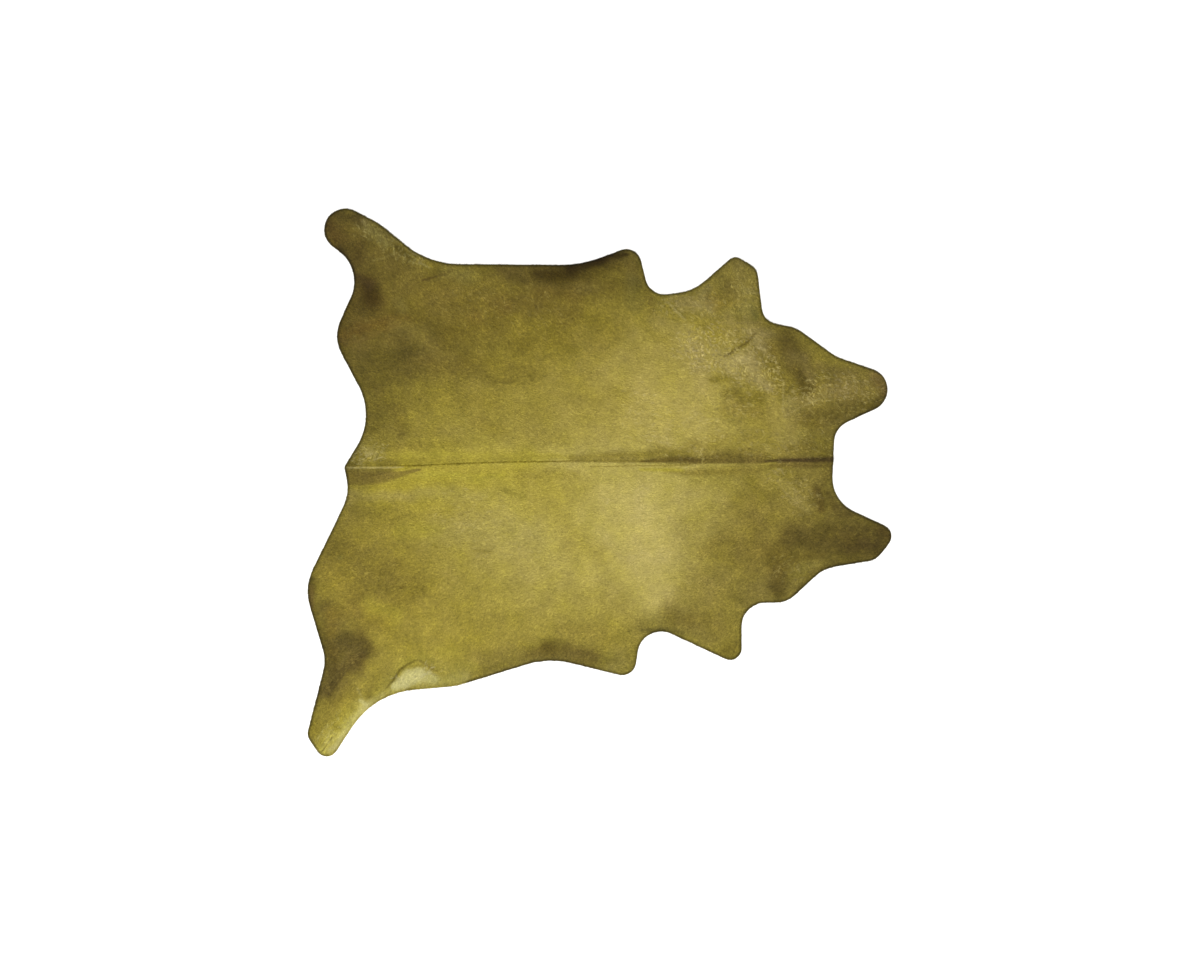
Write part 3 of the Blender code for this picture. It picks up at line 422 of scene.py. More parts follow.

# Lines of hair pressed or parted along creases, some partly painted shade and highlight, and fine scars.
# They keep a clean edge.
LINES = marked(
    # Down to the neck's dark line: hair parted on the backbone's crease, and partly painted shade and
    # painted highlight on its slopes.
    ("tail dark wedge", 0.5, "#7d6d33", 0.8, (-974, 15, 65), (-859, 15, 62), (-797, 25, 42),
        (-728, 42, 19.2), (-689, 50, 11.5)),
    ("tail pale line", 0.3, "#aa9d5c", 0.9, (-978, 57, 8.5), (-797, 57, 8.5), (-751, 60, 6.2)),
    ("tail dark line", 0.2, "#706323", 0.8, (-851, 68, 4.6), (-759, 65, 6.9), (-686, 66, 7.7)),
    ("loin yellow line", 0, "#aca03c", 0.35, (-674, 48, 15.4), (-555, 29, 23), (-351, 27, 15.4)),
    ("loin dark line", 0.2, "#70641f", 0.9, (-759, 63, 6.2), (-686, 65, 6.9), (-528, 74, 6.9),
        (-397, 78, 6.9), (-155, 81, 7.7)),
    ("barrel olive above", 0, "#8c7e35", 0.7, (-112, 94, 31), (3, 102, 46), (195, 108, 62), (349, 110, 62)),
    ("barrel dark line", 0.1, "#7c6f2f", 0.85, (-174, 80, 7.7), (-120, 82, 12.3), (-82, 84, 19.2),
        (-9, 84, 23), (87, 83, 19.2), (164, 83, 19.2)),
    ("barrel dark core", 0, "#665729", 0.95, (157, 81, 15.4), (218, 84, 35), (295, 88, 50), (349, 87, 46),
        (384, 83, 31)),
    ("barrel yellow under", 0, "#a89c3c", 0.8, (157, 50, 23), (318, 48, 27)),
    ("barrel low line", 0.2, "#807230", 0.75, (-36, 60, 6.2), (157, 65, 6.9), (249, 64, 8.5),
        (349, 69, 8.5)),
    ("barrel bright end", 0.2, "#bdb067", 0.8, (318, 54, 6.9), (337, 60, 6.9)),
    ("neck soft band", 0, "#776831", 0.75, (403, 94, 54), (634, 94, 50)),
    ("neck dark band", 0.3, "#6f602f", 0.75, (349, 81, 25), (403, 81, 25), (634, 81, 25)),
    ("neck gap", 0.1, "#8d7f42", 0.85, (394, 110, 13.1), (394, 67, 13.1)),
    ("neck pale under", 0, "#978a3e", 0.5, (403, 58, 13.1), (634, 58, 13.1)),
    ("neck line shade, low", 0, "#63542a", 0.65, (657, 65, 23), (772, 65, 31), (887, 66, 31)),
    ("neck fork pale", 0, "#9a8c47", 0.65, (649, 133, 46), (687, 113, 35)),
    ("neck V", 0.1, "#6f622c", 0.7, (575, 131, 9.2), (626, 110, 11.5), (667, 90, 11.5)),
    ("neck dark halo", 0, "#6e5f30", 0.85, (695, 83, 46), (772, 84, 50), (884, 84, 54)),
    ("neck dark line", 0.2, "#4f4228", 0.95, (634, 82, 11.5), (680, 85, 19.2), (772, 86, 25), (826, 87, 33),
        (895, 88, 35)),
    ("left shank pale line", 0.1, "#8f8244", 0.7, (-874, 853, 9.2), (-828, 863, 10), (-791, 883, 7.7)),
    ("left shank curl", 0.2, "#a99c59", 0.7, (-791, 910, 8.5), (-789, 875, 8.5)),
    ("left shank stroke", 0.2, "#a89b50", 0.8, (-747, 883, 6.2), (-712, 863, 8.5), (-666, 834, 6.9)),
    ("left shank stroke, middle", 0.2, "#a89b50", 0.7, (-728, 853, 6.2), (-689, 834, 6.9)),
    ("left shank stroke, short", 0.2, "#a89b50", 0.7, (-712, 877, 5.4), (-674, 856, 6.2)),
    ("left shank stroke, cross", 0.2, "#9d9052", 0.7, (-693, 844, 5.4), (-670, 860, 5.4)),
    ("left shank dark mark", 0, "#5a4a27", 0.85, (-682, 777, 15.4), (-655, 783, 17.7), (-628, 792, 11.5)),
    ("left shank brown streak", 0, "#65562b", 0.65, (-628, 792, 11.5), (-597, 802, 19.2),
        (-566, 815, 15.4)),
    ("left thigh ring", 0, "#a5984e", 0.5, (-555, 237, 8.5), (-537, 248, 9.2), (-516, 242, 8.5),
        (-509, 223, 8.5), (-522, 203, 7.7), (-545, 206, 7.7)),
    ("left thigh pale crease", 0, "#836e36", 0.35, (-974, 529, 31), (-882, 560, 35), (-766, 613, 27)),
    ("left armpit pale, upper", 0.1, "#a99b56", 0.8, (253, 706, 11.5), (276, 677, 15.4)),
    ("left armpit pale, lower", 0.1, "#aa9d5b", 0.8, (284, 671, 13.8), (314, 640, 16.9), (328, 627, 11.5)),
    ("left front shank streak, upper", 0.1, "#a19353", 0.7, (557, 744, 6.9), (611, 748, 6.9)),
    ("left front shank streak, lower", 0.1, "#9a8c4e", 0.7, (549, 727, 6.2), (607, 729, 6.9)),
    ("left front shank step", 0, "#988947", 0.7, (464, 613, 11.5), (626, 615, 11.5)),
    ("left shoulder crease", 0, "#66582a", 0.95, (476, 483, 11.5), (503, 497, 19.2), (526, 512, 23),
        (553, 530, 16.9), (572, 543, 22), (587, 560, 17.7), (599, 575, 7.7)),
    ("left shoulder crease, pale side", 0, "#a8995c", 0.65, (511, 479, 11.5), (549, 506, 15.4),
        (603, 544, 11.5)),
    ("left shoulder dot", 0, "#6f612c", 0.8, (436, 494, 13.1)),
    ("left shoulder dots", 0.1, "#75682f", 0.6, (426, 467, 9.2), (449, 463, 9.2)),
    ("left shoulder dark fleck", 0.1, "#776932", 0.6, (384, 490, 10), (395, 479, 10)),
    ("left shoulder pale fleck", 0.1, "#bbab69", 0.8, (641, 421, 7.7), (653, 437, 9.2)),
    ("left neck scar, first", 0.2, "#b2a358", 0.75, (440, 317, 6.2), (441, 221, 6.2)),
    ("left neck scar, second", 0.2, "#a3954a", 0.7, (501, 375, 6.9), (502, 167, 6.9)),
    ("left neck scar, third", 0.2, "#a99b58", 0.9, (707, 390, 6.9), (704, 271, 6.9)),
    ("left neck scar, fourth", 0.2, "#857838", 0.8, (995, 398, 7.7), (995, 256, 6.9)),
    ("left neck scar, fifth", 0.2, "#857838", 0.7, (1032, 410, 6.2), (1031, 367, 5.4)),
    ("left neck stroke, first", 0.2, "#a89a58", 0.65, (714, 256, 5.4), (772, 290, 6.9), (818, 313, 5.4)),
    ("left neck stroke, second", 0.2, "#ada05c", 0.7, (795, 298, 5.4), (849, 321, 5.4)),
    ("left neck stroke, third", 0.2, "#ad9f5c", 0.7, (799, 333, 5.4), (811, 306, 5.4)),
    ("left neck scratch, first", 0.2, "#a99a55", 0.7, (645, 340, 5.4), (684, 371, 5.4)),
    ("left neck scratch, second", 0.2, "#a99a55", 0.6, (653, 375, 5.4), (687, 344, 5.4)),
    ("left neck dot", 0.1, "#6c5f28", 0.7, (618, 317, 15.4)),
    ("right neck whorl", 0.1, "#a4965a", 0.75, (676, 37, 9.2), (684, 52, 10), (699, 52, 10),
        (707, 34, 8.5)),
    ("right neck ray, first", 0.1, "#a39455", 0.6, (684, 6, 7.7), (714, -40, 9.2), (761, -79, 6.9)),
    ("right neck ray, second", 0.1, "#a0914f", 0.55, (711, 21, 6.2), (745, -25, 7.7), (795, -71, 6.2)),
    ("right neck ray, third", 0.1, "#988948", 0.5, (734, 44, 6.2), (772, -2, 7.7), (811, -40, 6.2)),
    ("right neck ray, fourth", 0.1, "#a0914f", 0.55, (703, -48, 6.9), (741, -83, 8.5), (803, -110, 6.9)),
    ("right neck lobe stroke, first", 0.1, "#82743a", 0.6, (980, -202, 6.9), (1026, -148, 6.2)),
    ("right neck lobe stroke, second", 0.1, "#7c6e36", 0.6, (949, -179, 6.9), (987, -140, 5.4)),
    ("right shoulder stroke", 0.2, "#8d7f3f", 0.7, (711, -298, 6.2), (728, -313, 7.7), (745, -340, 6.2)),
    ("right shoulder stroke, inner", 0.2, "#9a8c50", 0.7, (757, -325, 5.4), (772, -344, 6.2)),
    ("right elbow pale curve", 0.1, "#a59853", 0.6, (253, -371, 6.2), (303, -363, 6.9), (349, -390, 6.2)),
    ("right ribs fleck", 0.2, "#c5b76d", 0.85, (27, -83, 6.2), (34, -63, 6.2)),
    ("right loin curve", 0.1, "#ab9d52", 0.6, (-501, -206, 5.4), (-474, -208, 6.2), (-451, -225, 5.4)),
    ("right loin dark strokes", 0, "#8a7d36", 0.6, (-486, -260, 19.2), (-409, -267, 19.2)),
    ("right rump mark", 0.1, "#7d6f2a", 0.7, (-639, -237, 11.5), (-624, -252, 11.5)),
    ("right rump mark, low", 0, "#6b5d29", 0.65, (-762, -406, 31), (-751, -398, 27)),
    ("right hock streak, first", 0.1, "#4d4126", 0.6, (-955, -702, 7.7), (-1005, -763, 10),
        (-1043, -817, 7.7)),
    ("right hock streak, second", 0.1, "#7a6b38", 0.5, (-982, -694, 6.2), (-1020, -748, 7.7),
        (-1066, -794, 6.9)),
    ("right hock streak, third", 0.1, "#83753a", 0.5, (-936, -717, 6.2), (-986, -779, 7.7),
        (-1024, -833, 6.9)),
    ("right flank bright", 0, "#d8d193", 0.6, (-789, -783, 31), (-743, -771, 42)),
    ("right hind shank pale line", 0.1, "#a59a52", 0.7, (-932, -790, 8.5), (-909, -833, 9.2),
        (-889, -863, 7.7)),
    ("right hind shank bright spot", 0, "#cfc67a", 0.9, (-920, -837, 19.2), (-893, -858, 31)),
    ("right hind shank dark spot", 0, "#7a6e30", 0.6, (-893, -810, 23), (-882, -829, 19.2)),
    ("right hind shank dark line", 0.1, "#645a2c", 0.75, (-1028, -979, 8.5), (-1047, -1006, 11.5),
        (-1066, -1033, 9.2)),
    ("right hind shank pale", 0, "#c4ba70", 0.6, (-1020, -1021, 31), (-993, -983, 35), (-978, -952, 27)),
    ("right hind shank stroke, first", 0.1, "#a59a50", 0.6, (-1066, -1017, 5.4), (-1039, -963, 6.2)),
    ("right hind shank stroke, second", 0.1, "#9d9149", 0.6, (-1089, -1002, 5.4), (-1062, -948, 6.2)),
    ("right hind shank stroke, third", 0.1, "#8e8340", 0.6, (-1005, -1017, 5.4), (-974, -963, 6.2)),
    ("left shank pale spot", 0, "#8b8050", 0.6, (-909, 1003, 27)),
    ("left shank shadow", 0, "#4f4522", 0.6, (-782, 906, 31), (-736, 867, 31)),
    ("left shank stroke, outer", 0.2, "#a4985a", 0.65, (-736, 890, 5.4), (-701, 873, 6.2)),
    ("left shank stroke, inner", 0.2, "#a4985a", 0.7, (-686, 840, 6.2), (-651, 825, 6.2)),
    ("left hock spot", 0.1, "#47391f", 0.8, (-886, 756, 123), (-874, 710, 131)),
    ("left hock spot side", 0, "#58482a", 0.7, (-924, 790, 54), (-886, 763, 69)),
    ("left belly dark, tail side", 0, "#43371f", 0.75, (-243, 806, 85), (-182, 802, 108), (-105, 810, 108)),
    ("left belly dark, middle", 0, "#362b1a", 0.85, (-112, 825, 69), (-43, 838, 62), (18, 856, 50)),
    ("left belly dark, neck side", 0, "#3a2f1b", 0.85, (-9, 852, 58), (49, 869, 54), (103, 877, 35)),
    ("left ribs streak, second", 0, "#7a6c2f", 0.5, (-409, 387, 19.2), (-332, 387, 19.2)),
    ("tail fleck, first", 0, "#bcae74", 0.7, (-897, 102, 6.9), (-874, 110, 7.7)),
    ("tail fleck, second", 0, "#bcae74", 0.7, (-866, 87, 6.9), (-836, 98, 7.7)),
    ("tail fleck, third", 0, "#b3a566", 0.6, (-847, 110, 6.2), (-832, 121, 6.2)),
    ("right rump green spot", 0, "#6b652f", 0.6, (-997, -287, 35)),
    # Painted shade on the backbone crease at the neck, partly parted hair.
    ("neck band, first", 0, "#64562b", 0.45, (349, 87, 35), (387, 87, 35)),
    ("right hock black", 0.2, "#5f532a", 0.9, (-970, -610, 123), (-912, -640, 115)),
    ("right hock black, low", 0, "#524526", 0.7, (-928, -671, 69), (-909, -667, 62)),
    ("right hock edge brown", 0, "#7a6636", 0.75, (-1109, -402, 42), (-1109, -479, 42)),
    ("right flank interior", 0.3, "#bcb468", 0.8, (-736, -740, 69), (-682, -740, 77), (-636, -756, 54)),
    ("right flank triangle", 0.4, "#c9c17b", 0.85, (-782, -783, 50), (-736, -756, 77), (-697, -737, 69)),
    ("tail edge", 0, "#5f552b", 0.6, (-997, 75, 46), (-989, 13, 54)),
    # The right flank's creases: hair pressed into them, and partly painted shade.
    ("right flank crease, tail side", 0.1, "#665a27", 0.8, (-699, -681, 9.2), (-730, -694, 13.1),
        (-766, -717, 14.6), (-795, -762, 14.6), (-820, -790, 10)),
    ("right flank crease, belly side", 0.1, "#645829", 0.85, (-699, -680, 8.5), (-670, -697, 10.8),
        (-647, -711, 10), (-626, -723, 7.7)),
)

# Where locks stand every way, with paler ones among them. Strength is how disordered they are.
TUFTS = marked(
    ("left shoulder whorls", 0.3, "#b5a669", 0.95, (387, 521, 254), (549, 483, 269), (634, 406, 231)),
    ("left shoulder, low", 0.1, "#ab9d56", 0.5, (364, 329, 192), (549, 290, 192)),
    ("left neck scratches", 0.2, "#b1a263", 0.7, (795, 337, 177), (964, 360, 169)),
    ("left neck low", 0.1, "#978948", 0.5, (757, 275, 154), (964, 260, 154)),
    ("left neck dark", 0.1, "#837539", 0.4, (718, 506, 177), (772, 421, 154)),
    ("left neck tip", 0.1, "#a1925a", 0.6, (1026, 344, 169), (1095, 367, 131)),
    ("neck crest", 0.1, "#a29454", 0.5, (557, 160, 138), (872, 144, 154)),
    ("right neck crest", 0.1, "#a39456", 0.6, (695, 29, 154), (795, -56, 169)),
    ("left armpit", 0.1, "#ab9d5c", 0.65, (280, 675, 154), (411, 675, 192)),
    ("left front shank", 0.1, "#a39552", 0.55, (534, 775, 169), (572, 683, 154)),
    ("tail scratches", 0.1, "#b3a665", 0.9, (-920, 106, 100), (-843, 121, 108)),
    ("left hind shank", 0.1, "#9a8e50", 0.7, (-897, 975, 115), (-797, 906, 115), (-697, 852, 77)),
    ("left thigh", 0, "#7d7038", 0.15, (-997, 583, 269), (-651, 498, 231)),
    ("left ribs, low", 0, "#bcad67", 0.35, (195, 237, 346), (387, 198, 346)),
    ("right shoulder", 0.1, "#8f8147", 0.6, (718, -325, 154), (772, -348, 115)),
    ("right neck lobe", 0, "#75672f", 0.4, (849, -225, 231), (1026, -194, 192)),
    ("right hock", 0, "#7c6d38", 0.45, (-959, -687, 192), (-1051, -779, 154)),
    ("right flank", 0, "#c3bb80", 0.4, (-766, -763, 115), (-651, -740, 115)),
    ("right hind shank", 0, "#b4aa64", 0.45, (-1036, -979, 154), (-982, -917, 138)),
    ("right loin", 0, "#b3a55e", 0.25, (-497, -148, 346), (-305, -225, 346)),
    ("right rump", 0, "#9a8b3e", 0.25, (-843, -340, 346), (-651, -417, 346)),
    ("left quarter", 0, "#8f8040", 0.25, (-497, 698, 346), (-228, 660, 308)),
)

# Where pale hair runs up to the cut edge, and the edge has little of its dark rim of trimmed hair and
# painted shadow.
BARE_EDGES = marked(
    ("right flank and shank", 0.6, "#c4ba70", 0.75, (-1024, -1037, 54), (-959, -948, 54), (-897, -871, 54),
        (-820, -813, 62), (-759, -790, 69), (-612, -783, 69), (-528, -771, 38)),
)

# ---------------------------------------------------------------- how it is cut into pieces

Part = namedtuple("Part", "name low high")

# The coat is grown in parts across the hide, from the tail to the neck.
COAT_PARTS = (
    Part("coat_hindquarters", -1.20, -0.71),
    Part("coat_loin", -0.71, -0.32),
    Part("coat_barrel", -0.32, 0.09),
    Part("coat_shoulders", 0.09, 0.52),
    Part("coat_neck", 0.52, 1.20),
)

# The cut edge.
MERGE = 1e-5  # packed points this near are one
EDGE_STEP = 0.005  # between points of the sheet's cut edge
EDGE_ROUNDINGS = 4  # passes that round its corners
TRIM = 0.0024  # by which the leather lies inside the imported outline, to leave room for hair
KNIFE_WANDER, KNIFE_WAVE = 0.0005, 0.030  # how far the knife strayed, and over what length
KNIFE_SHAKE, KNIFE_STEP = 0.0003, 0.009  # the same for its smaller shakes
MARGIN = 0.06  # of the hide's surroundings that the fields cover
FIELD_STEP = 0.004  # between knots of the field of distances from the cut edge
SPLITS = 5  # points in each step of the edge that distances are measured to

# The sheet.
HAIR_SIDE_STEP, FLESH_SIDE_STEP = 0.0085, 0.022  # between points of the leather on each side
EDGE_ROOM = 0.6  # of a step that its inner points keep from the cut edge
CUT_ANGLE = math.radians(50)  # past which the leather turns a sharp corner
RIPPLE_RISE, RIPPLE_WAVE = 0.0009, 0.12  # slow waves in which the hide lies off the floor
PUCKER_RISE, PUCKER_WAVE = 0.0002, 0.035  # and small ones
HAIR_MAP, FLESH_MAP = ((0.0, 0.0), (0.49, 0.96)), ((0.51, 0.0), (1.0, 0.96))  # corners on its map
CUT_MAP = (0.97, 1.0)  # height of the cut edge on its map

# Darker hair near the edge: a rim of trimmed hair, partly painted shadow, and a wider painted shade.
RIM_WIDTH = 0.0120  # of the darkest hair along the cut edge, trimmed, and partly painted shadow where it turns over
RIM_SHADE = 0.62  # share of its light that the rim loses
RIM_STEEPNESS = 1.6  # over 1, the rim is darkest over part of its width
EDGE_SHADE_WIDTH = 0.14  # of the painted shade along the cut edge, where the hide curves down
EDGE_SHADE = 0.20  # share of its light that the painted shade takes at the edge

# How unevenly the coat grows. A spread is one standard deviation, and angles are in radians.
COMB_SWING, COMB_WAVE = 0.16, 0.06  # slow swing of the lie, and its length
LOCK_STRAY, HAIR_STRAY = 0.32, 0.16  # spread of a lock's heading, and of a hair's in its lock
WHORL_SWING, WHORL_WAVE, WHORL_STRAY = 1.6, 0.022, 0.4  # the same where hair is disordered
LOCK_TONE, HAIR_TONE = 0.035, 0.035  # spread of the shade of locks, and of hairs
TUFT_TONE = 0.12  # further spread in a lock's shade where hair is disordered
CLUMP_TONE, CLUMP_WAVE = 0.13, 0.012  # shade that neighbouring locks there share
FLECKED, FLECK_DYE = 0.7, (0.15, 0.65)  # share of locks there that are paler, and how much so
TUFT_SHORTER, TUFT_NARROWER = 0.5, 0.55  # what the locks there lose in length and width
TUFT_HAIR_SHORTER = 0.25  # what their hairs lose in length
HAIR_LENGTHS, HAIR_WIDTHS = (0.75, 1.2), (0.8, 1.2)  # of the usual length and width
HAIR_BEND = 0.10  # spread of a hair's curve
HAIR_TILT = 0.28  # spread of its roll, in shares of its half width
ROOT_ROOM = 0.0006  # that the roots keep from the cut edge
OVERHANG, SHAG, SHAG_WAVE = 0.0010, 0.0022, 0.05  # hair past the edge, and where it is shaggier
TRIMMINGS, TRIM_BACK = 3, 1.1  # times that hair is trimmed, and how much of what hangs over each time
SHORTEST_HAIR = 0.003
DEPTH_SPREAD = (1.6, 1.3)  # over 1, fewer hairs lie deepest, and fewer on top
LEAST_DEPTH = 0.0003  # of a hair in the coat
ROOT_DEPTH, TIP_DEPTH = 0.15, 0.75  # of the depth at the hair's middle
MIDDLE_WIDTH = 0.9  # of the width at its root
BEND_AT = 0.55  # share of its length at which it bends
DROOP = 0.8  # of how far a tip hangs past the edge, by which it drops
ROOT_TO_TIP_SHADE = (0.86, 0.86, 1.0, 1.0, 1.04)  # shade of a hair at its root, twice, its middle, twice, and tip; darker roots are partly painted shade under the coat, partly deeper dye


class CowhideSizes(PropertyGroup):
    """Sizes that a maker would change."""

    leather: FloatProperty(
        name="Leather", description="Thickness of the leather", default=0.002, unit="LENGTH"
    )
    coat: FloatProperty(
        name="Coat", description="Depth of the lying hair", default=0.0032, unit="LENGTH"
    )
    hair_length: FloatProperty(
        name="Hair length", description="Length of a strand", default=0.015, unit="LENGTH"
    )
    hair_width: FloatProperty(
        name="Hair width",
        description="Width of a strand, a dozen real hairs side by side",
        default=0.0013,
        unit="LENGTH",
    )
    lock_spacing: FloatProperty(
        name="Lock spacing", description="Between one lock and the next", default=0.0085, unit="LENGTH"
    )
    lock_length: FloatProperty(
        name="Lock length", description="Stretch on which a lock is rooted", default=0.013, unit="LENGTH"
    )
    lock_width: FloatProperty(
        name="Lock width", description="Width in which a lock is rooted", default=0.010, unit="LENGTH"
    )
    hairs_in_lock: IntProperty(name="Hairs in a lock", description="Strands to a lock", default=7)
    seed: IntProperty(name="Seed", description="Which coat of many alike is grown", default=7)


def linear(colour):
    """An sRGB hex colour as a linear one."""
    parts = [int(colour[at : at + 2], 16) / 255 for at in (1, 3, 5)]
    return np.array([c / 12.92 if c <= 0.04045 else ((c + 0.055) / 1.055) ** 2.4 for c in parts])


def hair_dye(colour):
    """Linear colour of the dye that makes the coat look like an sRGB hex colour."""
    return np.maximum((linear(colour) - HAZE) / BRIGHTENED, LEAST_DYE)


def colour_property(name, description, colour):
    return FloatVectorProperty(
        name=name, description=description, subtype="COLOR", size=3, default=linear(colour)
    )


class CowhideColours(PropertyGroup):
    """Colours that a maker would change."""

    cut: colour_property("Cut edge", "Edge of the leather, dyed through", "#4a3f26")
    flesh: colour_property("Flesh side", "Buffed underside of the leather", "#8f7f5a")
    floor: colour_property("Floor", "Floor under the rug", "#f4f3f0")


# ---------------------------------------------------------------- fields and shapes


def ease(share):
    return share * share * (3 - 2 * share)


def swell(offset):
    """1 in the middle of a fold, 0 from its side at 1 outwards, and smooth between."""
    return np.clip(1 - offset * offset, 0, 1) ** 2


class Field:
    """Values on a square grid of knots over the hide, read anywhere between them."""

    def __init__(self, values, step, eased=False):
        self.values = values
        self.step = step
        self.eased = eased

    @classmethod
    def random(cls, step, seed):
        """Values from -1 to 1 that change smoothly over each step."""
        shape = [math.ceil((CAD_HIGH[i] - CAD_LOW[i] + 2 * MARGIN) / step) + 2 for i in (1, 0)]
        return cls(np.random.default_rng(seed).uniform(-1, 1, shape), step, eased=True)

    def at(self, x, y):
        across = np.clip((x - CAD_LOW[0] + MARGIN) / self.step, 0, self.values.shape[1] - 1.001)
        up = np.clip((y - CAD_LOW[1] + MARGIN) / self.step, 0, self.values.shape[0] - 1.001)
        column, row = across.astype(int), up.astype(int)
        across, up = across - column, up - row
        if self.eased:
            across, up = ease(across), ease(up)
        low = self.values[row, column] * (1 - across) + self.values[row, column + 1] * across
        high = self.values[row + 1, column] * (1 - across) + self.values[row + 1, column + 1] * across
        return low * (1 - up) + high * up


@lru_cache(maxsize=1)
def cut_edge():
    """Points of the hide's cut edge every EDGE_STEP or so, anticlockwise, as a cutter's knife left it."""
    packed = bmesh.new()
    packed.from_mesh(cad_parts[NODE].data)
    bmesh.ops.remove_doubles(packed, verts=packed.verts, dist=MERGE)
    follows = {}
    for edge in packed.edges:
        slopes = sorted(edge.link_faces, key=lambda face: face.normal.z)
        if len(slopes) == 2 and slopes[0].normal.z < -0.5 and abs(slopes[1].normal.z) < 0.3:
            wall = slopes[1]
            loop = next(corner for corner in wall.loops if corner.edge == edge)
            follows[loop.vert.index] = loop.link_loop_next.vert.index
    packed.verts.ensure_lookup_table()
    start = at = next(iter(follows))
    walked = []
    while not walked or at != start:
        walked.append(packed.verts[at].co.xy[:])
        at = follows[at]
    packed.free()
    ring = np.array(walked)
    following = np.roll(ring, -1, axis=0)
    if np.sum(ring[:, 0] * following[:, 1] - following[:, 0] * ring[:, 1]) < 0:
        ring = ring[::-1]
    return trimmed(ring)


def trimmed(ring):
    """The ring at even steps, its corners rounded and a knife's small wander added."""
    closed = np.vstack([ring, ring[:1]])
    along = np.concatenate([[0], np.cumsum(np.hypot(*np.diff(closed, axis=0).T))])
    count = round(along[-1] / EDGE_STEP)
    even = np.linspace(0, along[-1], count, endpoint=False)
    points = np.stack([np.interp(even, along, closed[:, i]) for i in (0, 1)], 1)
    for _ in range(EDGE_ROUNDINGS):
        points = (np.roll(points, 1, 0) + 2 * points + np.roll(points, -1, 0)) / 4
    run = np.roll(points, -1, 0) - np.roll(points, 1, 0)
    out = np.stack([run[:, 1], -run[:, 0]], 1) / np.hypot(*run.T)[:, None]
    wander = KNIFE_WANDER * Field.random(KNIFE_WAVE, 11).at(*points.T)
    wander = wander + KNIFE_SHAKE * Field.random(KNIFE_STEP, 12).at(*points.T)
    return points + out * (wander - TRIM)[:, None]


@lru_cache(maxsize=1)
def edge_field():
    """Distance from the cut edge, above 0 on the hide and below 0 off it."""
    edge = cut_edge()
    following = np.roll(edge, -1, axis=0)
    tree = KDTree(SPLITS * len(edge))
    for index, share in enumerate(np.arange(SPLITS) / SPLITS):
        for offset, (x, y) in enumerate(edge + (following - edge) * share):
            tree.insert((x, y, 0), index * len(edge) + offset)
    tree.balance()
    xs = np.arange(CAD_LOW[0] - MARGIN, CAD_HIGH[0] + MARGIN + FIELD_STEP, FIELD_STEP)
    ys = np.arange(CAD_LOW[1] - MARGIN, CAD_HIGH[1] + MARGIN + FIELD_STEP, FIELD_STEP)
    values = np.array([[tree.find((x, y, 0))[2] for x in xs] for y in ys])
    for row, y in enumerate(ys):
        crossed = (edge[:, 1] > y) != (following[:, 1] > y)
        (ax, ay), (bx, by) = edge[crossed].T, following[crossed].T
        at = ax + (bx - ax) * (y - ay) / (by - ay)
        inside = (at[:, None] < xs).sum(0) % 2 == 1
        values[row, ~inside] *= -1
    return Field(values, FIELD_STEP)


def along_back(x, column):
    """A column of BACKBONE at each x, easing from station to station."""
    stations = np.array([row.x for row in BACKBONE])
    values = np.array([getattr(row, column) for row in BACKBONE])
    step = np.clip(np.searchsorted(stations, x) - 1, 0, len(stations) - 2)
    share = (x - stations[step]) / (stations[step + 1] - stations[step])
    return values[step] + (values[step + 1] - values[step]) * ease(np.clip(share, 0, 1))


def ridge_lift(x, y):
    """How far the backbone's ridge lifts the hide."""
    on_back = (x >= BACKBONE[0].x) & (x <= BACKBONE[-1].x)
    offset = (y - along_back(x, "y")) / (along_back(x, "width") / 2)
    return along_back(x, "rise") * swell(offset) * on_back


def fold_lift(fold, x, y):
    """How far one fold lifts the hide."""
    heading = math.radians(fold.heading)
    along = (x - fold.x) * math.cos(heading) + (y - fold.y) * math.sin(heading)
    across = (y - fold.y) * math.cos(heading) - (x - fold.x) * math.sin(heading)
    return fold.rise * swell(along / (fold.length / 2)) * swell(across / (fold.width / 2))


RIPPLE = Field.random(RIPPLE_WAVE, 21)
PUCKER = Field.random(PUCKER_WAVE, 22)


def lift(x, y):
    """Height of the hide's underside above the floor."""
    height = ridge_lift(x, y) + RIPPLE_RISE * np.clip(RIPPLE.at(x, y), 0, 1)
    height = height + PUCKER_RISE * (1 + PUCKER.at(x, y))
    for fold in FOLDS + CREASES:
        height += fold_lift(fold, x, y)
    return np.maximum(height, 0)


def cover(mark, x, y):
    """The share of a mark's dye that each point takes."""
    depth = np.full(len(x), -1.0)
    for start, end in zip(mark.path, mark.path[1:] or mark.path):
        run = np.array([end[0] - start[0], end[1] - start[1]])
        share = ((x - start[0]) * run[0] + (y - start[1]) * run[1]) / max(run @ run, 1e-9)
        share = np.clip(share, 0, 1)
        away = np.hypot(x - start[0] - share * run[0], y - start[1] - share * run[1])
        half_width = (start[2] + (end[2] - start[2]) * share) / 2
        depth = np.maximum(depth, 1 - away / half_width)
    return mark.strength * ease(np.clip(depth / (1 - mark.edge), 0, 1))


def near(mark, x, y):
    """Indices of the points that a mark can reach."""
    path = np.array(mark.path)
    reach = path[:, 2].max() / 2
    (low_x, low_y), (high_x, high_y) = path[:, :2].min(0) - reach, path[:, :2].max(0) + reach
    return np.flatnonzero((x > low_x) & (x < high_x) & (y > low_y) & (y < high_y))


# How far blooms bleed out of their shape, over wide waves and over small ones.
BLEED = (
    (0.012, Field.random(0.10, 31), Field.random(0.10, 32)),
    (0.005, Field.random(0.027, 33), Field.random(0.027, 34)),
)


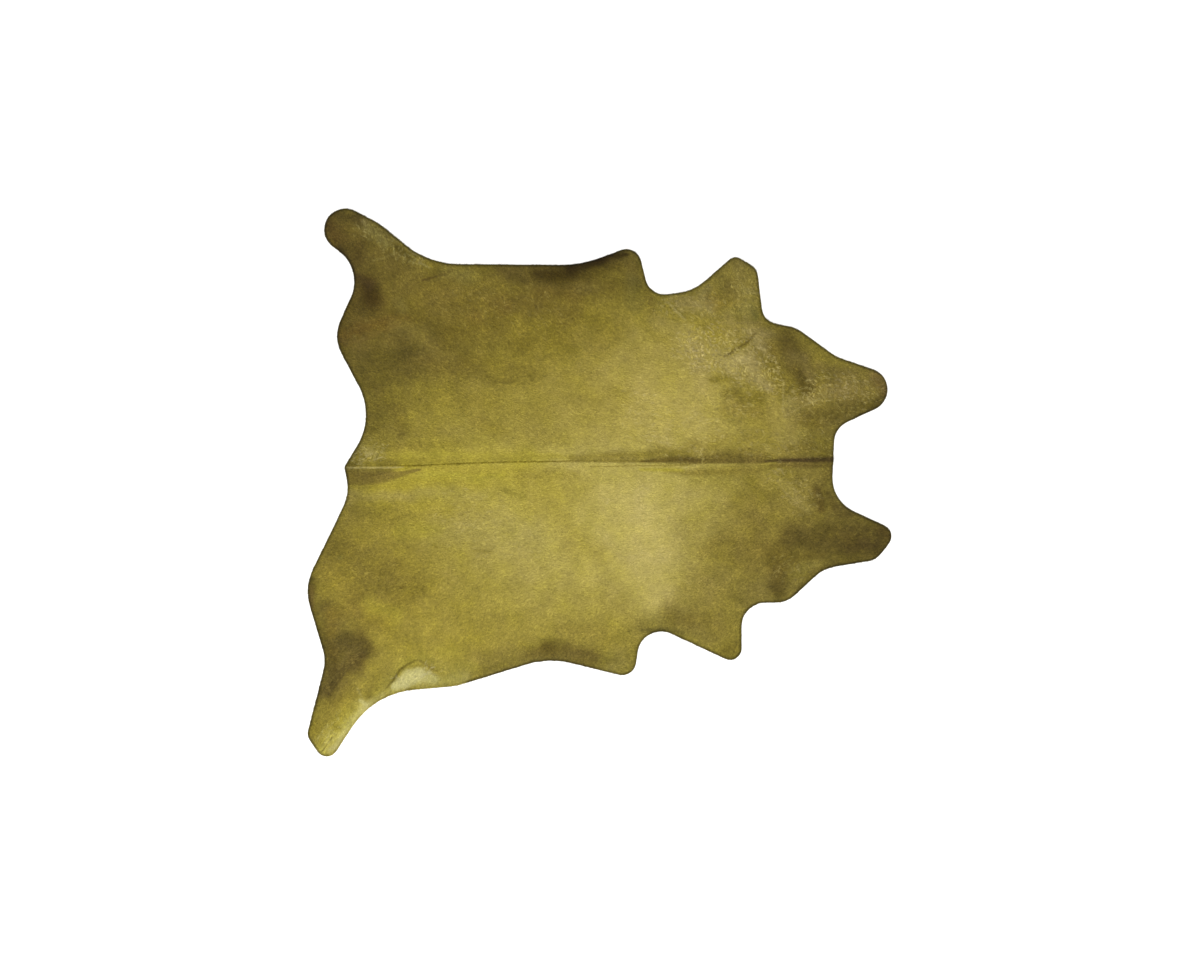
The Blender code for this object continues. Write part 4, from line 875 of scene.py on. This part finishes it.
def dyed(x, y):
    """Linear colour of the coat at each point, with painted shade and highlight on the backbone's crease
    among its marks.
    """
    colour = np.tile(hair_dye(GROUND_DYE), (len(x), 1))
    bled_x = x + sum(size * field.at(x, y) for size, field, _ in BLEED)
    bled_y = y + sum(size * field.at(x, y) for size, _, field in BLEED)
    for marks, at_x, at_y in ((BLOOMS, bled_x, bled_y), (LINES, x, y)):
        for mark in marks:
            reached = near(mark, at_x, at_y)
            share = cover(mark, at_x[reached], at_y[reached])[:, None]
            colour[reached] += (hair_dye(mark.dye) - colour[reached]) * share
    return colour


def rimmed(colour, x, y):
    """The colour with painted shade deepening towards the cut edge, and a dark rim of trimmed hair, partly
    painted shadow.
    """
    away = edge_field().at(x, y)
    # Painted shade: the hair and leather darken towards the cut edge, as a hide that curves down would.
    painted_edge_shade = ease(np.clip(1 - away / EDGE_SHADE_WIDTH, 0, 1))[:, None]
    colour = colour * (1 - EDGE_SHADE * painted_edge_shade)
    # The rim is darker trimmed hair, and partly painted shadow where the hair turns over the edge.
    rim = ease(np.clip(RIM_STEEPNESS * (1 - away / RIM_WIDTH), 0, 1))[:, None]
    bare, _ = strongest(BARE_EDGES, x, y)
    rim = rim * (1 - bare[:, None])
    return colour * (1 - RIM_SHADE * rim)


def combed(x, y):
    """Heading in which the hair lies at each point, in radians."""
    pull = np.zeros((2, len(x)))
    for lay in LAY:
        weight = np.exp(-((x - lay.x) ** 2 + (y - lay.y) ** 2) / (2 * lay.reach**2)) + 1e-9
        heading = math.radians(lay.heading)
        pull += weight * np.array([[math.cos(heading)], [math.sin(heading)]])
    return np.arctan2(pull[1], pull[0])


# ---------------------------------------------------------------- meshes


def new_mesh(name, places, triangles):
    """A smooth mesh of triangles."""
    mesh = bpy.data.meshes.new(name)
    mesh.vertices.add(len(places))
    mesh.vertices.foreach_set("co", places.astype(np.float32).ravel())
    mesh.loops.add(triangles.size)
    mesh.loops.foreach_set("vertex_index", triangles.astype(np.int32).ravel())
    mesh.polygons.add(len(triangles))
    mesh.polygons.foreach_set("loop_start", np.arange(0, triangles.size, 3, dtype=np.int32))
    mesh.update(calc_edges=True)
    mesh.shade_smooth()
    return mesh


def new_piece(mesh, materials):
    """Links a piece that rides on the hide's body, with the given materials."""
    piece = bpy.data.objects.new(mesh.name, mesh)
    bpy.context.scene.collection.objects.link(piece)
    for material in materials:
        mesh.materials.append(material)
    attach(piece, BODY)
    return piece


def store_colour(mesh, name, colour):
    """Keeps a linear colour on each vertex."""
    layer = mesh.color_attributes.new(name=name, type="FLOAT_COLOR", domain="POINT")
    layer.data.foreach_set("color", np.c_[colour, np.ones(len(colour))].astype(np.float32).ravel())


def store_map(mesh, corners):
    """Keeps a map, a place on it for each corner of each face, for textures baked onto it."""
    layer = mesh.uv_layers.new(name="OFBake")
    layer.uv.foreach_set("vector", corners.astype(np.float32).ravel())


def seen_from_above(places, low=(0.0, 0.0), high=(1.0, 1.0)):
    """Places on a map, as the points lie seen from above, stretched to fill a part of it."""
    flat = places[:, :2]
    shares = (flat - flat.min(0)) / np.ptp(flat, axis=0)
    return np.array(low) + shares * (np.array(high) - np.array(low))


def paved(edge, step):
    """The ground inside the cut edge as triangles, with the edge's own points first."""
    low, high = edge.min(0), edge.max(0)
    rows = np.arange(low[1], high[1], step * math.sqrt(3) / 2)
    grid = []
    for index, y in enumerate(rows):
        x = np.arange(low[0] + step / 2 * (index % 2), high[0], step)
        grid.append(np.stack([x, np.full_like(x, y)], 1))
    grid = np.vstack(grid)
    grid = grid[edge_field().at(*grid.T) > EDGE_ROOM * min(step, 2 * EDGE_STEP)]
    plan = [Vector(point) for point in np.vstack([edge, grid])]
    points, _, faces, origins, *_ = delaunay_2d_cdt(plan, [], [range(len(edge))], 1, 1e-7)
    place = np.zeros(len(points), int)
    for index, origin in enumerate(origins):
        place[index] = origin[0]
    return np.array([point[:] for point in plan]), place[np.array(faces)]


def leather_mesh(sizes):
    """The leather: hair side, flesh side and the cut edge between them, as one closed sheet."""
    edge = cut_edge()
    hair_side, hair_faces = paved(edge, HAIR_SIDE_STEP)
    flesh_side, flesh_faces = paved(edge, FLESH_SIDE_STEP)
    hair_z = lift(*hair_side.T) + sizes.leather
    flesh_z = lift(*flesh_side.T)
    places = np.vstack([np.c_[hair_side, hair_z], np.c_[flesh_side, flesh_z]])
    top = np.arange(len(edge))
    bottom = top + len(hair_side)
    next_top, next_bottom = np.roll(top, -1), np.roll(bottom, -1)
    wall = np.vstack([np.c_[bottom, next_bottom, next_top], np.c_[bottom, next_top, top]])
    flesh_faces = flesh_faces[:, ::-1] + len(hair_side)
    triangles = np.vstack([hair_faces, flesh_faces, wall])
    mesh = new_mesh("leather", places, triangles)
    kinds = np.repeat([0, 1, 2], [len(hair_faces), len(flesh_faces), len(wall)])
    mesh.polygons.foreach_set("material_index", kinds.astype(np.int32))
    mesh.set_sharp_from_angle(angle=CUT_ANGLE)
    x, y = places[:, 0], places[:, 1]
    # The dye attribute holds painted shade too: towards the cut edge and on the backbone's crease.
    store_colour(mesh, "dye", rimmed(dyed(x, y), x, y))
    hair_map = seen_from_above(places, *HAIR_MAP)[hair_faces.ravel()]
    flesh_map = seen_from_above(places, *FLESH_MAP)[flesh_faces.ravel()]
    shares = np.arange(len(edge) + 1) / len(edge)
    low, high = (np.c_[shares, np.full_like(shares, height)] for height in CUT_MAP)
    wall_map = np.vstack([
        np.stack([low[:-1], low[1:], high[1:]], 1).reshape(-1, 2),
        np.stack([low[:-1], high[1:], high[:-1]], 1).reshape(-1, 2),
    ])
    store_map(mesh, np.vstack([hair_map, flesh_map, wall_map]))
    return mesh


def strongest(marks, x, y):
    """For each point, how strongly the strongest mark covers it, and that mark's colour."""
    share = np.zeros(len(x))
    colour = np.zeros((len(x), 3))
    for mark in marks:
        reached = near(mark, x, y)
        found = cover(mark, x[reached], y[reached])
        more = found > share[reached]
        share[reached[more]] = found[more]
        colour[reached[more]] = hair_dye(mark.dye)
    return share, colour


def pointing(heading):
    """A step of length 1 at each heading."""
    return np.stack([np.cos(heading), np.sin(heading)], 1)


def grown_coat(sizes):
    """Every strand of the coat: five places, their colours, and the x at which its lock is rooted."""
    rng = np.random.default_rng(sizes.seed)
    away = edge_field()
    step = sizes.lock_spacing
    x, y = np.meshgrid(*(np.arange(CAD_LOW[i], CAD_HIGH[i], step) for i in (0, 1)))
    x = (x + rng.uniform(-0.5, 0.5, x.shape) * step).ravel()
    y = (y + rng.uniform(-0.5, 0.5, y.shape) * step).ravel()
    on_hide = away.at(x, y) > -sizes.lock_length / 2
    x, y = x[on_hide], y[on_hide]

    # A lock's hairs share its heading and its tone, as they do where hair was damp when combed.
    stir, fleck = strongest(TUFTS, x, y)
    whorl = WHORL_SWING * Field.random(WHORL_WAVE, sizes.seed + 1).at(x, y)
    whorl = whorl + rng.normal(0, WHORL_STRAY, len(x))
    heading = combed(x, y) + COMB_SWING * Field.random(COMB_WAVE, sizes.seed + 2).at(x, y)
    heading += rng.normal(0, LOCK_STRAY, len(x)) + stir * whorl
    tone = rng.normal(0, LOCK_TONE + TUFT_TONE * stir)
    tone = tone + CLUMP_TONE * stir * Field.random(CLUMP_WAVE, sizes.seed + 3).at(x, y)
    flecked = (rng.random(len(x)) < FLECKED * stir) * rng.uniform(*FLECK_DYE, len(x))

    count = sizes.hairs_in_lock
    lock = np.repeat(np.arange(len(x)), count)
    along = rng.uniform(-0.5, 0.5, len(lock)) * sizes.lock_length * (1 - TUFT_SHORTER * stir[lock])
    across = rng.uniform(-0.5, 0.5, len(lock)) * sizes.lock_width * (1 - TUFT_NARROWER * stir[lock])
    turn = heading[lock]
    run, side = pointing(turn), pointing(turn + math.pi / 2)
    root = np.stack([x[lock], y[lock]], 1) + run * along[:, None] + side * across[:, None]
    kept = away.at(*root.T) > ROOT_ROOM
    lock, root, turn = lock[kept], root[kept], turn[kept]
    turn = turn + rng.normal(0, HAIR_STRAY, len(lock))
    length = sizes.hair_length * rng.uniform(*HAIR_LENGTHS, len(lock)) * (1 - TUFT_HAIR_SHORTER * stir[lock])
    bend = rng.normal(0, HAIR_BEND, len(lock))

    # No hair reaches far past the cut edge: it was trimmed with the leather.
    shaggy = np.clip(Field.random(SHAG_WAVE, sizes.seed + 4).at(*root.T), 0, 1)
    overhang = rng.uniform(0.0, 1.0, len(lock)) * (OVERHANG + SHAG * shaggy)
    for _ in range(TRIMMINGS):
        tip = root + pointing(turn + bend / 2) * length[:, None]
        past = -away.at(*tip.T) - overhang
        length = np.where(past > 0, np.maximum(length - past * TRIM_BACK, SHORTEST_HAIR), length)

    run = pointing(turn)
    middle = root + run * (BEND_AT * length)[:, None]
    tip = middle + pointing(turn + bend) * ((1 - BEND_AT) * length)[:, None]
    half_width = sizes.hair_width / 2 * rng.uniform(*HAIR_WIDTHS, len(lock))
    side = np.stack([-run[:, 1], run[:, 0]], 1) * half_width[:, None]
    depth = sizes.coat * rng.beta(*DEPTH_SPREAD, len(lock)) + LEAST_DEPTH
    roll = rng.normal(0, HAIR_TILT, len(lock)) * sizes.hair_width / 2
    waist = side * MIDDLE_WIDTH
    plan = np.stack([root + side, root - side, middle + waist, middle - waist, tip], 1)
    skin = lift(plan[:, :, 0].ravel(), plan[:, :, 1].ravel()).reshape(-1, 5) + sizes.leather
    hang = np.clip(-away.at(tip[:, 0], tip[:, 1]), 0, None)
    low, end = ROOT_DEPTH * depth, TIP_DEPTH * depth - DROOP * hang
    height = np.stack([low + roll, low - roll, depth + roll, depth - roll, end], 1)
    places = np.dstack([plan, skin + np.maximum(height, 0.0)])

    # Each strand is dyed at its root, its middle and its tip, with painted shade towards the cut edge.
    knots = np.stack([root, middle, tip], 1)
    along_x, along_y = knots[:, :, 0].ravel(), knots[:, :, 1].ravel()
    dye = dyed(along_x, along_y)
    share = flecked[lock].repeat(3)[:, None]
    dye += (fleck[lock].repeat(3, 0) - dye) * share
    dye = rimmed(dye, along_x, along_y)
    dye = dye.reshape(-1, 3, 3)[:, [0, 0, 1, 1, 2]]
    shade = np.exp(tone[lock] + rng.normal(0, HAIR_TONE, len(lock)))
    return places, dye, shade[:, None] * np.array(ROOT_TO_TIP_SHADE), x[lock]


def coat_mesh(name, places, dye, tone):
    """One part of the coat. A strand is a flat ribbon of one panel that ends in a point."""
    first = np.arange(len(places))[:, None, None] * 5
    triangles = (first + np.array([[0, 1, 3], [0, 3, 2], [2, 3, 4]])).reshape(-1, 3)
    flat = places.reshape(-1, 3)
    mesh = new_mesh(name, flat, triangles)
    store_colour(mesh, "dye", dye)
    layer = mesh.attributes.new("tone", "FLOAT", "POINT")
    layer.data.foreach_set("value", tone.astype(np.float32))
    store_map(mesh, seen_from_above(flat)[triangles.ravel()])
    return mesh


# ---------------------------------------------------------------- materials


def new_material(name):
    material = bpy.data.materials.new(name)
    material.use_nodes = True
    return material, material.node_tree, material.node_tree.nodes["Principled BSDF"]


def add_node(tree, kind, inputs=(), **settings):
    """Adds a node with its settings. An input takes a value or another node's output."""
    node = tree.nodes.new(kind)
    for name, value in settings.items():
        setattr(node, name, value)
    for socket, value in dict(inputs).items():
        if isinstance(value, bpy.types.NodeSocket):
            tree.links.new(value, node.inputs[socket])
        else:
            node.inputs[socket].default_value = value
    return node


def coat_material():
    """Cow hair, bleached and drum dyed olive: mottled, with only a soft gloss.

    Dye takes unevenly over blotches of 70 mm and less and over grain of 8 mm. Specks of 5 mm are darker,
    drawn a few times coarser than real ones so that they show. Dark hair is the most uneven. Where the
    dye takes less, over 110 mm or so, the bleached hair shows beige through it, and the colour is greyer.
    """
    material, tree, shader = new_material("drum_dyed_cow_hair")
    # The dye attribute holds painted shade towards the cut edge and on the backbone's crease; tone darkens
    # roots, partly as painted shade.
    dye = add_node(tree, "ShaderNodeAttribute", attribute_name="dye").outputs["Color"]
    tone = add_node(tree, "ShaderNodeAttribute", attribute_name="tone").outputs["Fac"]
    where = add_node(tree, "ShaderNodeTexCoord").outputs["Object"]
    blotch = add_node(
        tree, "ShaderNodeTexNoise", {"Vector": where, "Scale": 14.0, "Detail": 2.5, "Roughness": 0.62}
    ).outputs["Fac"]
    grain = add_node(
        tree, "ShaderNodeTexNoise", {"Vector": where, "Scale": 120.0, "Detail": 2.0, "Roughness": 0.6}
    ).outputs["Fac"]
    take = add_node(
        tree, "ShaderNodeTexNoise", {"Vector": where, "Scale": 9.0, "Detail": 2.0, "Roughness": 0.6}
    ).outputs["Fac"]
    speck = add_node(
        tree, "ShaderNodeTexNoise", {"Vector": where, "Scale": 210.0, "Detail": 1.0, "Roughness": 0.5}
    ).outputs["Fac"]
    uneven = add_node(
        tree,
        "ShaderNodeMapRange",
        {"Value": blotch, "From Min": 0.25, "From Max": 0.75, "To Min": 0.89, "To Max": 1.11},
    )
    speckle = add_node(
        tree,
        "ShaderNodeMapRange",
        {"Value": grain, "From Min": 0.2, "From Max": 0.8, "To Min": 0.82, "To Max": 1.18},
    )
    specked = add_node(
        tree,
        "ShaderNodeMapRange",
        {"Value": speck, "From Min": 0.3, "From Max": 0.45, "To Min": 0.80, "To Max": 1.02},
    )
    mottle = add_node(
        tree, "ShaderNodeMath", {0: uneven.outputs[0], 1: speckle.outputs[0]}, operation="MULTIPLY"
    )
    mottle = add_node(
        tree, "ShaderNodeMath", {0: mottle.outputs[0], 1: specked.outputs[0]}, operation="MULTIPLY"
    )
    depth = add_node(tree, "ShaderNodeRGBToBW", {0: dye})
    contrast = add_node(
        tree,
        "ShaderNodeMapRange",
        {"Value": depth.outputs[0], "From Min": 0.15, "From Max": 0.36, "To Min": 2.3, "To Max": 1.0},
    )
    mottle = add_node(
        tree, "ShaderNodeMath", {0: mottle.outputs[0], 1: contrast.outputs[0]}, operation="POWER"
    )
    shade = add_node(tree, "ShaderNodeMath", {0: mottle.outputs[0], 1: tone}, operation="MULTIPLY")
    shaded = add_node(tree, "ShaderNodeVectorMath", {0: dye, "Scale": shade.outputs[0]}, operation="SCALE")
    from_low, from_high, to_low, to_high = 7, 8, 9, 10  # sockets of a vector's range
    beige = add_node(
        tree,
        "ShaderNodeMapRange",
        {
            "Vector": take,
            from_low: (0.3, 0.3, 0.3),
            from_high: (0.7, 0.7, 0.7),
            to_low: (0.99, 1.0, 0.84),
            to_high: (1.01, 1.0, 1.16),
        },
        data_type="FLOAT_VECTOR",
    )
    colour = add_node(
        tree, "ShaderNodeVectorMath", {0: shaded.outputs["Vector"], 1: beige.outputs["Vector"]},
        operation="MULTIPLY",
    )
    tree.links.new(colour.outputs["Vector"], shader.inputs["Base Color"])
    shader.inputs["Roughness"].default_value = 0.55
    shader.inputs["Specular IOR Level"].default_value = 0.08
    return material


def hair_side_material():
    """Leather between the hairs, dyed with them and in their shade."""
    material, tree, shader = new_material("dyed_leather_grain_side")
    dye = add_node(tree, "ShaderNodeAttribute", attribute_name="dye").outputs["Color"]
    colour = add_node(tree, "ShaderNodeVectorMath", {0: dye, "Scale": 0.80}, operation="SCALE")
    tree.links.new(colour.outputs["Vector"], shader.inputs["Base Color"])
    shader.inputs["Roughness"].default_value = 0.75
    shader.inputs["Specular IOR Level"].default_value = 0.08
    return material


def flesh_side_material(colours):
    """Leather buffed on its flesh side: faint veins over 110 mm, a soft nap, and no gloss.

    The nap is drawn 2.4 mm across, coarser than a real one so that it shows.
    """
    material, tree, shader = new_material("buffed_leather_flesh_side")
    where = add_node(tree, "ShaderNodeTexCoord").outputs["Object"]
    cloud = add_node(tree, "ShaderNodeTexNoise", {"Vector": where, "Scale": 9.0, "Detail": 5.0})
    nap = add_node(tree, "ShaderNodeTexNoise", {"Vector": where, "Scale": 420.0, "Detail": 2.0})
    light = tuple(c * 1.12 for c in colours.flesh) + (1.0,)
    dark = tuple(c * 0.78 for c in colours.flesh) + (1.0,)
    colour = add_node(
        tree, "ShaderNodeMix", {"Factor": cloud.outputs["Fac"], "A": dark, "B": light}, data_type="RGBA"
    )
    bump = add_node(
        tree, "ShaderNodeBump", {"Height": nap.outputs["Fac"], "Distance": 0.0004, "Strength": 0.6}
    )
    tree.links.new(colour.outputs[2], shader.inputs["Base Color"])
    tree.links.new(bump.outputs["Normal"], shader.inputs["Normal"])
    shader.inputs["Roughness"].default_value = 0.95
    return material


def cut_material(colours):
    """Cut leather edge: dyed through, fibrous and dull, its fibres drawn 3 mm across so that they show."""
    material, tree, shader = new_material("cut_leather_edge")
    where = add_node(tree, "ShaderNodeTexCoord").outputs["Object"]
    fibre = add_node(tree, "ShaderNodeTexNoise", {"Vector": where, "Scale": 300.0, "Detail": 3.0})
    light = tuple(c * 1.2 for c in colours.cut) + (1.0,)
    dark = tuple(c * 0.7 for c in colours.cut) + (1.0,)
    colour = add_node(
        tree, "ShaderNodeMix", {"Factor": fibre.outputs["Fac"], "A": dark, "B": light}, data_type="RGBA"
    )
    tree.links.new(colour.outputs[2], shader.inputs["Base Color"])
    shader.inputs["Roughness"].default_value = 0.9
    return material


def floor_material(colours):
    """Matt white studio floor, painted: even, with no gloss."""
    material, _, shader = new_material("matt_painted_floor")
    shader.inputs["Base Color"].default_value = (*colours.floor, 1.0)
    shader.inputs["Roughness"].default_value = 0.9
    return material


# ---------------------------------------------------------------- operators


class OBJECT_OT_lay_leather(Operator):
    """Lay the leather of the hide as one thin sheet on its outline and folds"""

    bl_idname = "object.cowhide_lay_leather"
    bl_label = "Lay the Leather"

    def execute(self, context):
        sizes, colours = context.scene.cowhide_sizes, context.scene.cowhide_colours
        materials = hair_side_material(), flesh_side_material(colours), cut_material(colours)
        leather = new_piece(leather_mesh(sizes), materials)
        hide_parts(NODE)
        return {"FINISHED"}


class OBJECT_OT_grow_coat(Operator):
    """Grow the coat over the leather, part by part"""

    bl_idname = "object.cowhide_grow_coat"
    bl_label = "Grow the Coat"

    def execute(self, context):
        places, dye, tone, x = grown_coat(context.scene.cowhide_sizes)
        material = coat_material()
        for part in COAT_PARTS:
            here = (x >= part.low) & (x < part.high)
            mesh = coat_mesh(part.name, places[here], dye[here].reshape(-1, 3), tone[here].ravel())
            new_piece(mesh, [material])
        edge = cut_edge()
        return {"FINISHED"}


Light = namedtuple("Light", "name place size energy")

# Soft studio light: bright all round, a little stronger from beyond the hide's right side.
LIGHTS = (
    Light("key_light", (-1.6, -3.6, 3.8), 3.0, 260.0),
    Light("fill_light", (2.4, 3.2, 4.6), 4.0, 70.0),
)
SURROUND = 0.92  # strength of the light from all round
FLOOR_SIZE = 24.0
CAMERA_PLACE, CAMERA_LENS, CAMERA_REACH = (0.0016, 0.0097, 6.0), 46.8, 60.0


class OBJECT_OT_set_stage(Operator):
    """Set the floor, the lights and the camera, which looks straight down"""

    bl_idname = "object.cowhide_set_stage"
    bl_label = "Set the Stage"

    def execute(self, context):
        scene, colours = context.scene, context.scene.cowhide_colours
        bpy.ops.object.select_all(action="DESELECT")
        bpy.ops.mesh.primitive_plane_add(size=FLOOR_SIZE, location=(0, 0, 0))
        floor = context.object
        floor.name = floor.data.name = "floor"
        floor.data.materials.append(floor_material(colours))
        for light in LIGHTS:
            bpy.ops.object.light_add(type="AREA", location=light.place)
            lamp = context.object
            lamp.name = light.name
            lamp.data.shape, lamp.data.size, lamp.data.energy = "SQUARE", light.size, light.energy
            lamp.rotation_euler = (-lamp.location).to_track_quat("-Z", "Y").to_euler()
        world = bpy.data.worlds.new("soft_white_surround")
        world.use_nodes = True
        background = world.node_tree.nodes["Background"]
        background.inputs["Color"].default_value = (1, 1, 1, 1)
        background.inputs["Strength"].default_value = SURROUND
        scene.world = world
        scene.view_settings.view_transform = "Standard"
        bpy.ops.object.camera_add(location=CAMERA_PLACE, rotation=(0, 0, 0))
        camera = context.object
        camera.data.sensor_width = 36.0
        camera.data.lens = CAMERA_LENS
        camera.data.clip_end = CAMERA_REACH
        scene.camera = camera
        return {"FINISHED"}


class VIEW3D_PT_cowhide(Panel):
    """Cowhide rug"""

    bl_label = "Cowhide Rug"
    bl_idname = "VIEW3D_PT_cowhide"
    bl_space_type = "VIEW_3D"
    bl_region_type = "UI"
    bl_category = "Rug"

    def draw(self, context):
        for group in (context.scene.cowhide_sizes, context.scene.cowhide_colours):
            box = self.layout.box()
            for name in group.__annotations__:
                box.prop(group, name)
        for operator in OPERATORS:
            self.layout.operator(operator.bl_idname)


OPERATORS = OBJECT_OT_lay_leather, OBJECT_OT_grow_coat, OBJECT_OT_set_stage
CLASSES = (CowhideSizes, CowhideColours, *OPERATORS, VIEW3D_PT_cowhide)


def register():
    for made in CLASSES:
        bpy.utils.register_class(made)
    bpy.types.Scene.cowhide_sizes = PointerProperty(type=CowhideSizes)
    bpy.types.Scene.cowhide_colours = PointerProperty(type=CowhideColours)


def unregister():
    del bpy.types.Scene.cowhide_sizes
    del bpy.types.Scene.cowhide_colours
    for made in reversed(CLASSES):
        bpy.utils.unregister_class(made)


def main():
    register()
    bpy.ops.object.cowhide_lay_leather()
    bpy.ops.object.cowhide_grow_coat()
    bpy.ops.object.cowhide_set_stage()


if __name__ == "__main__":
    main()
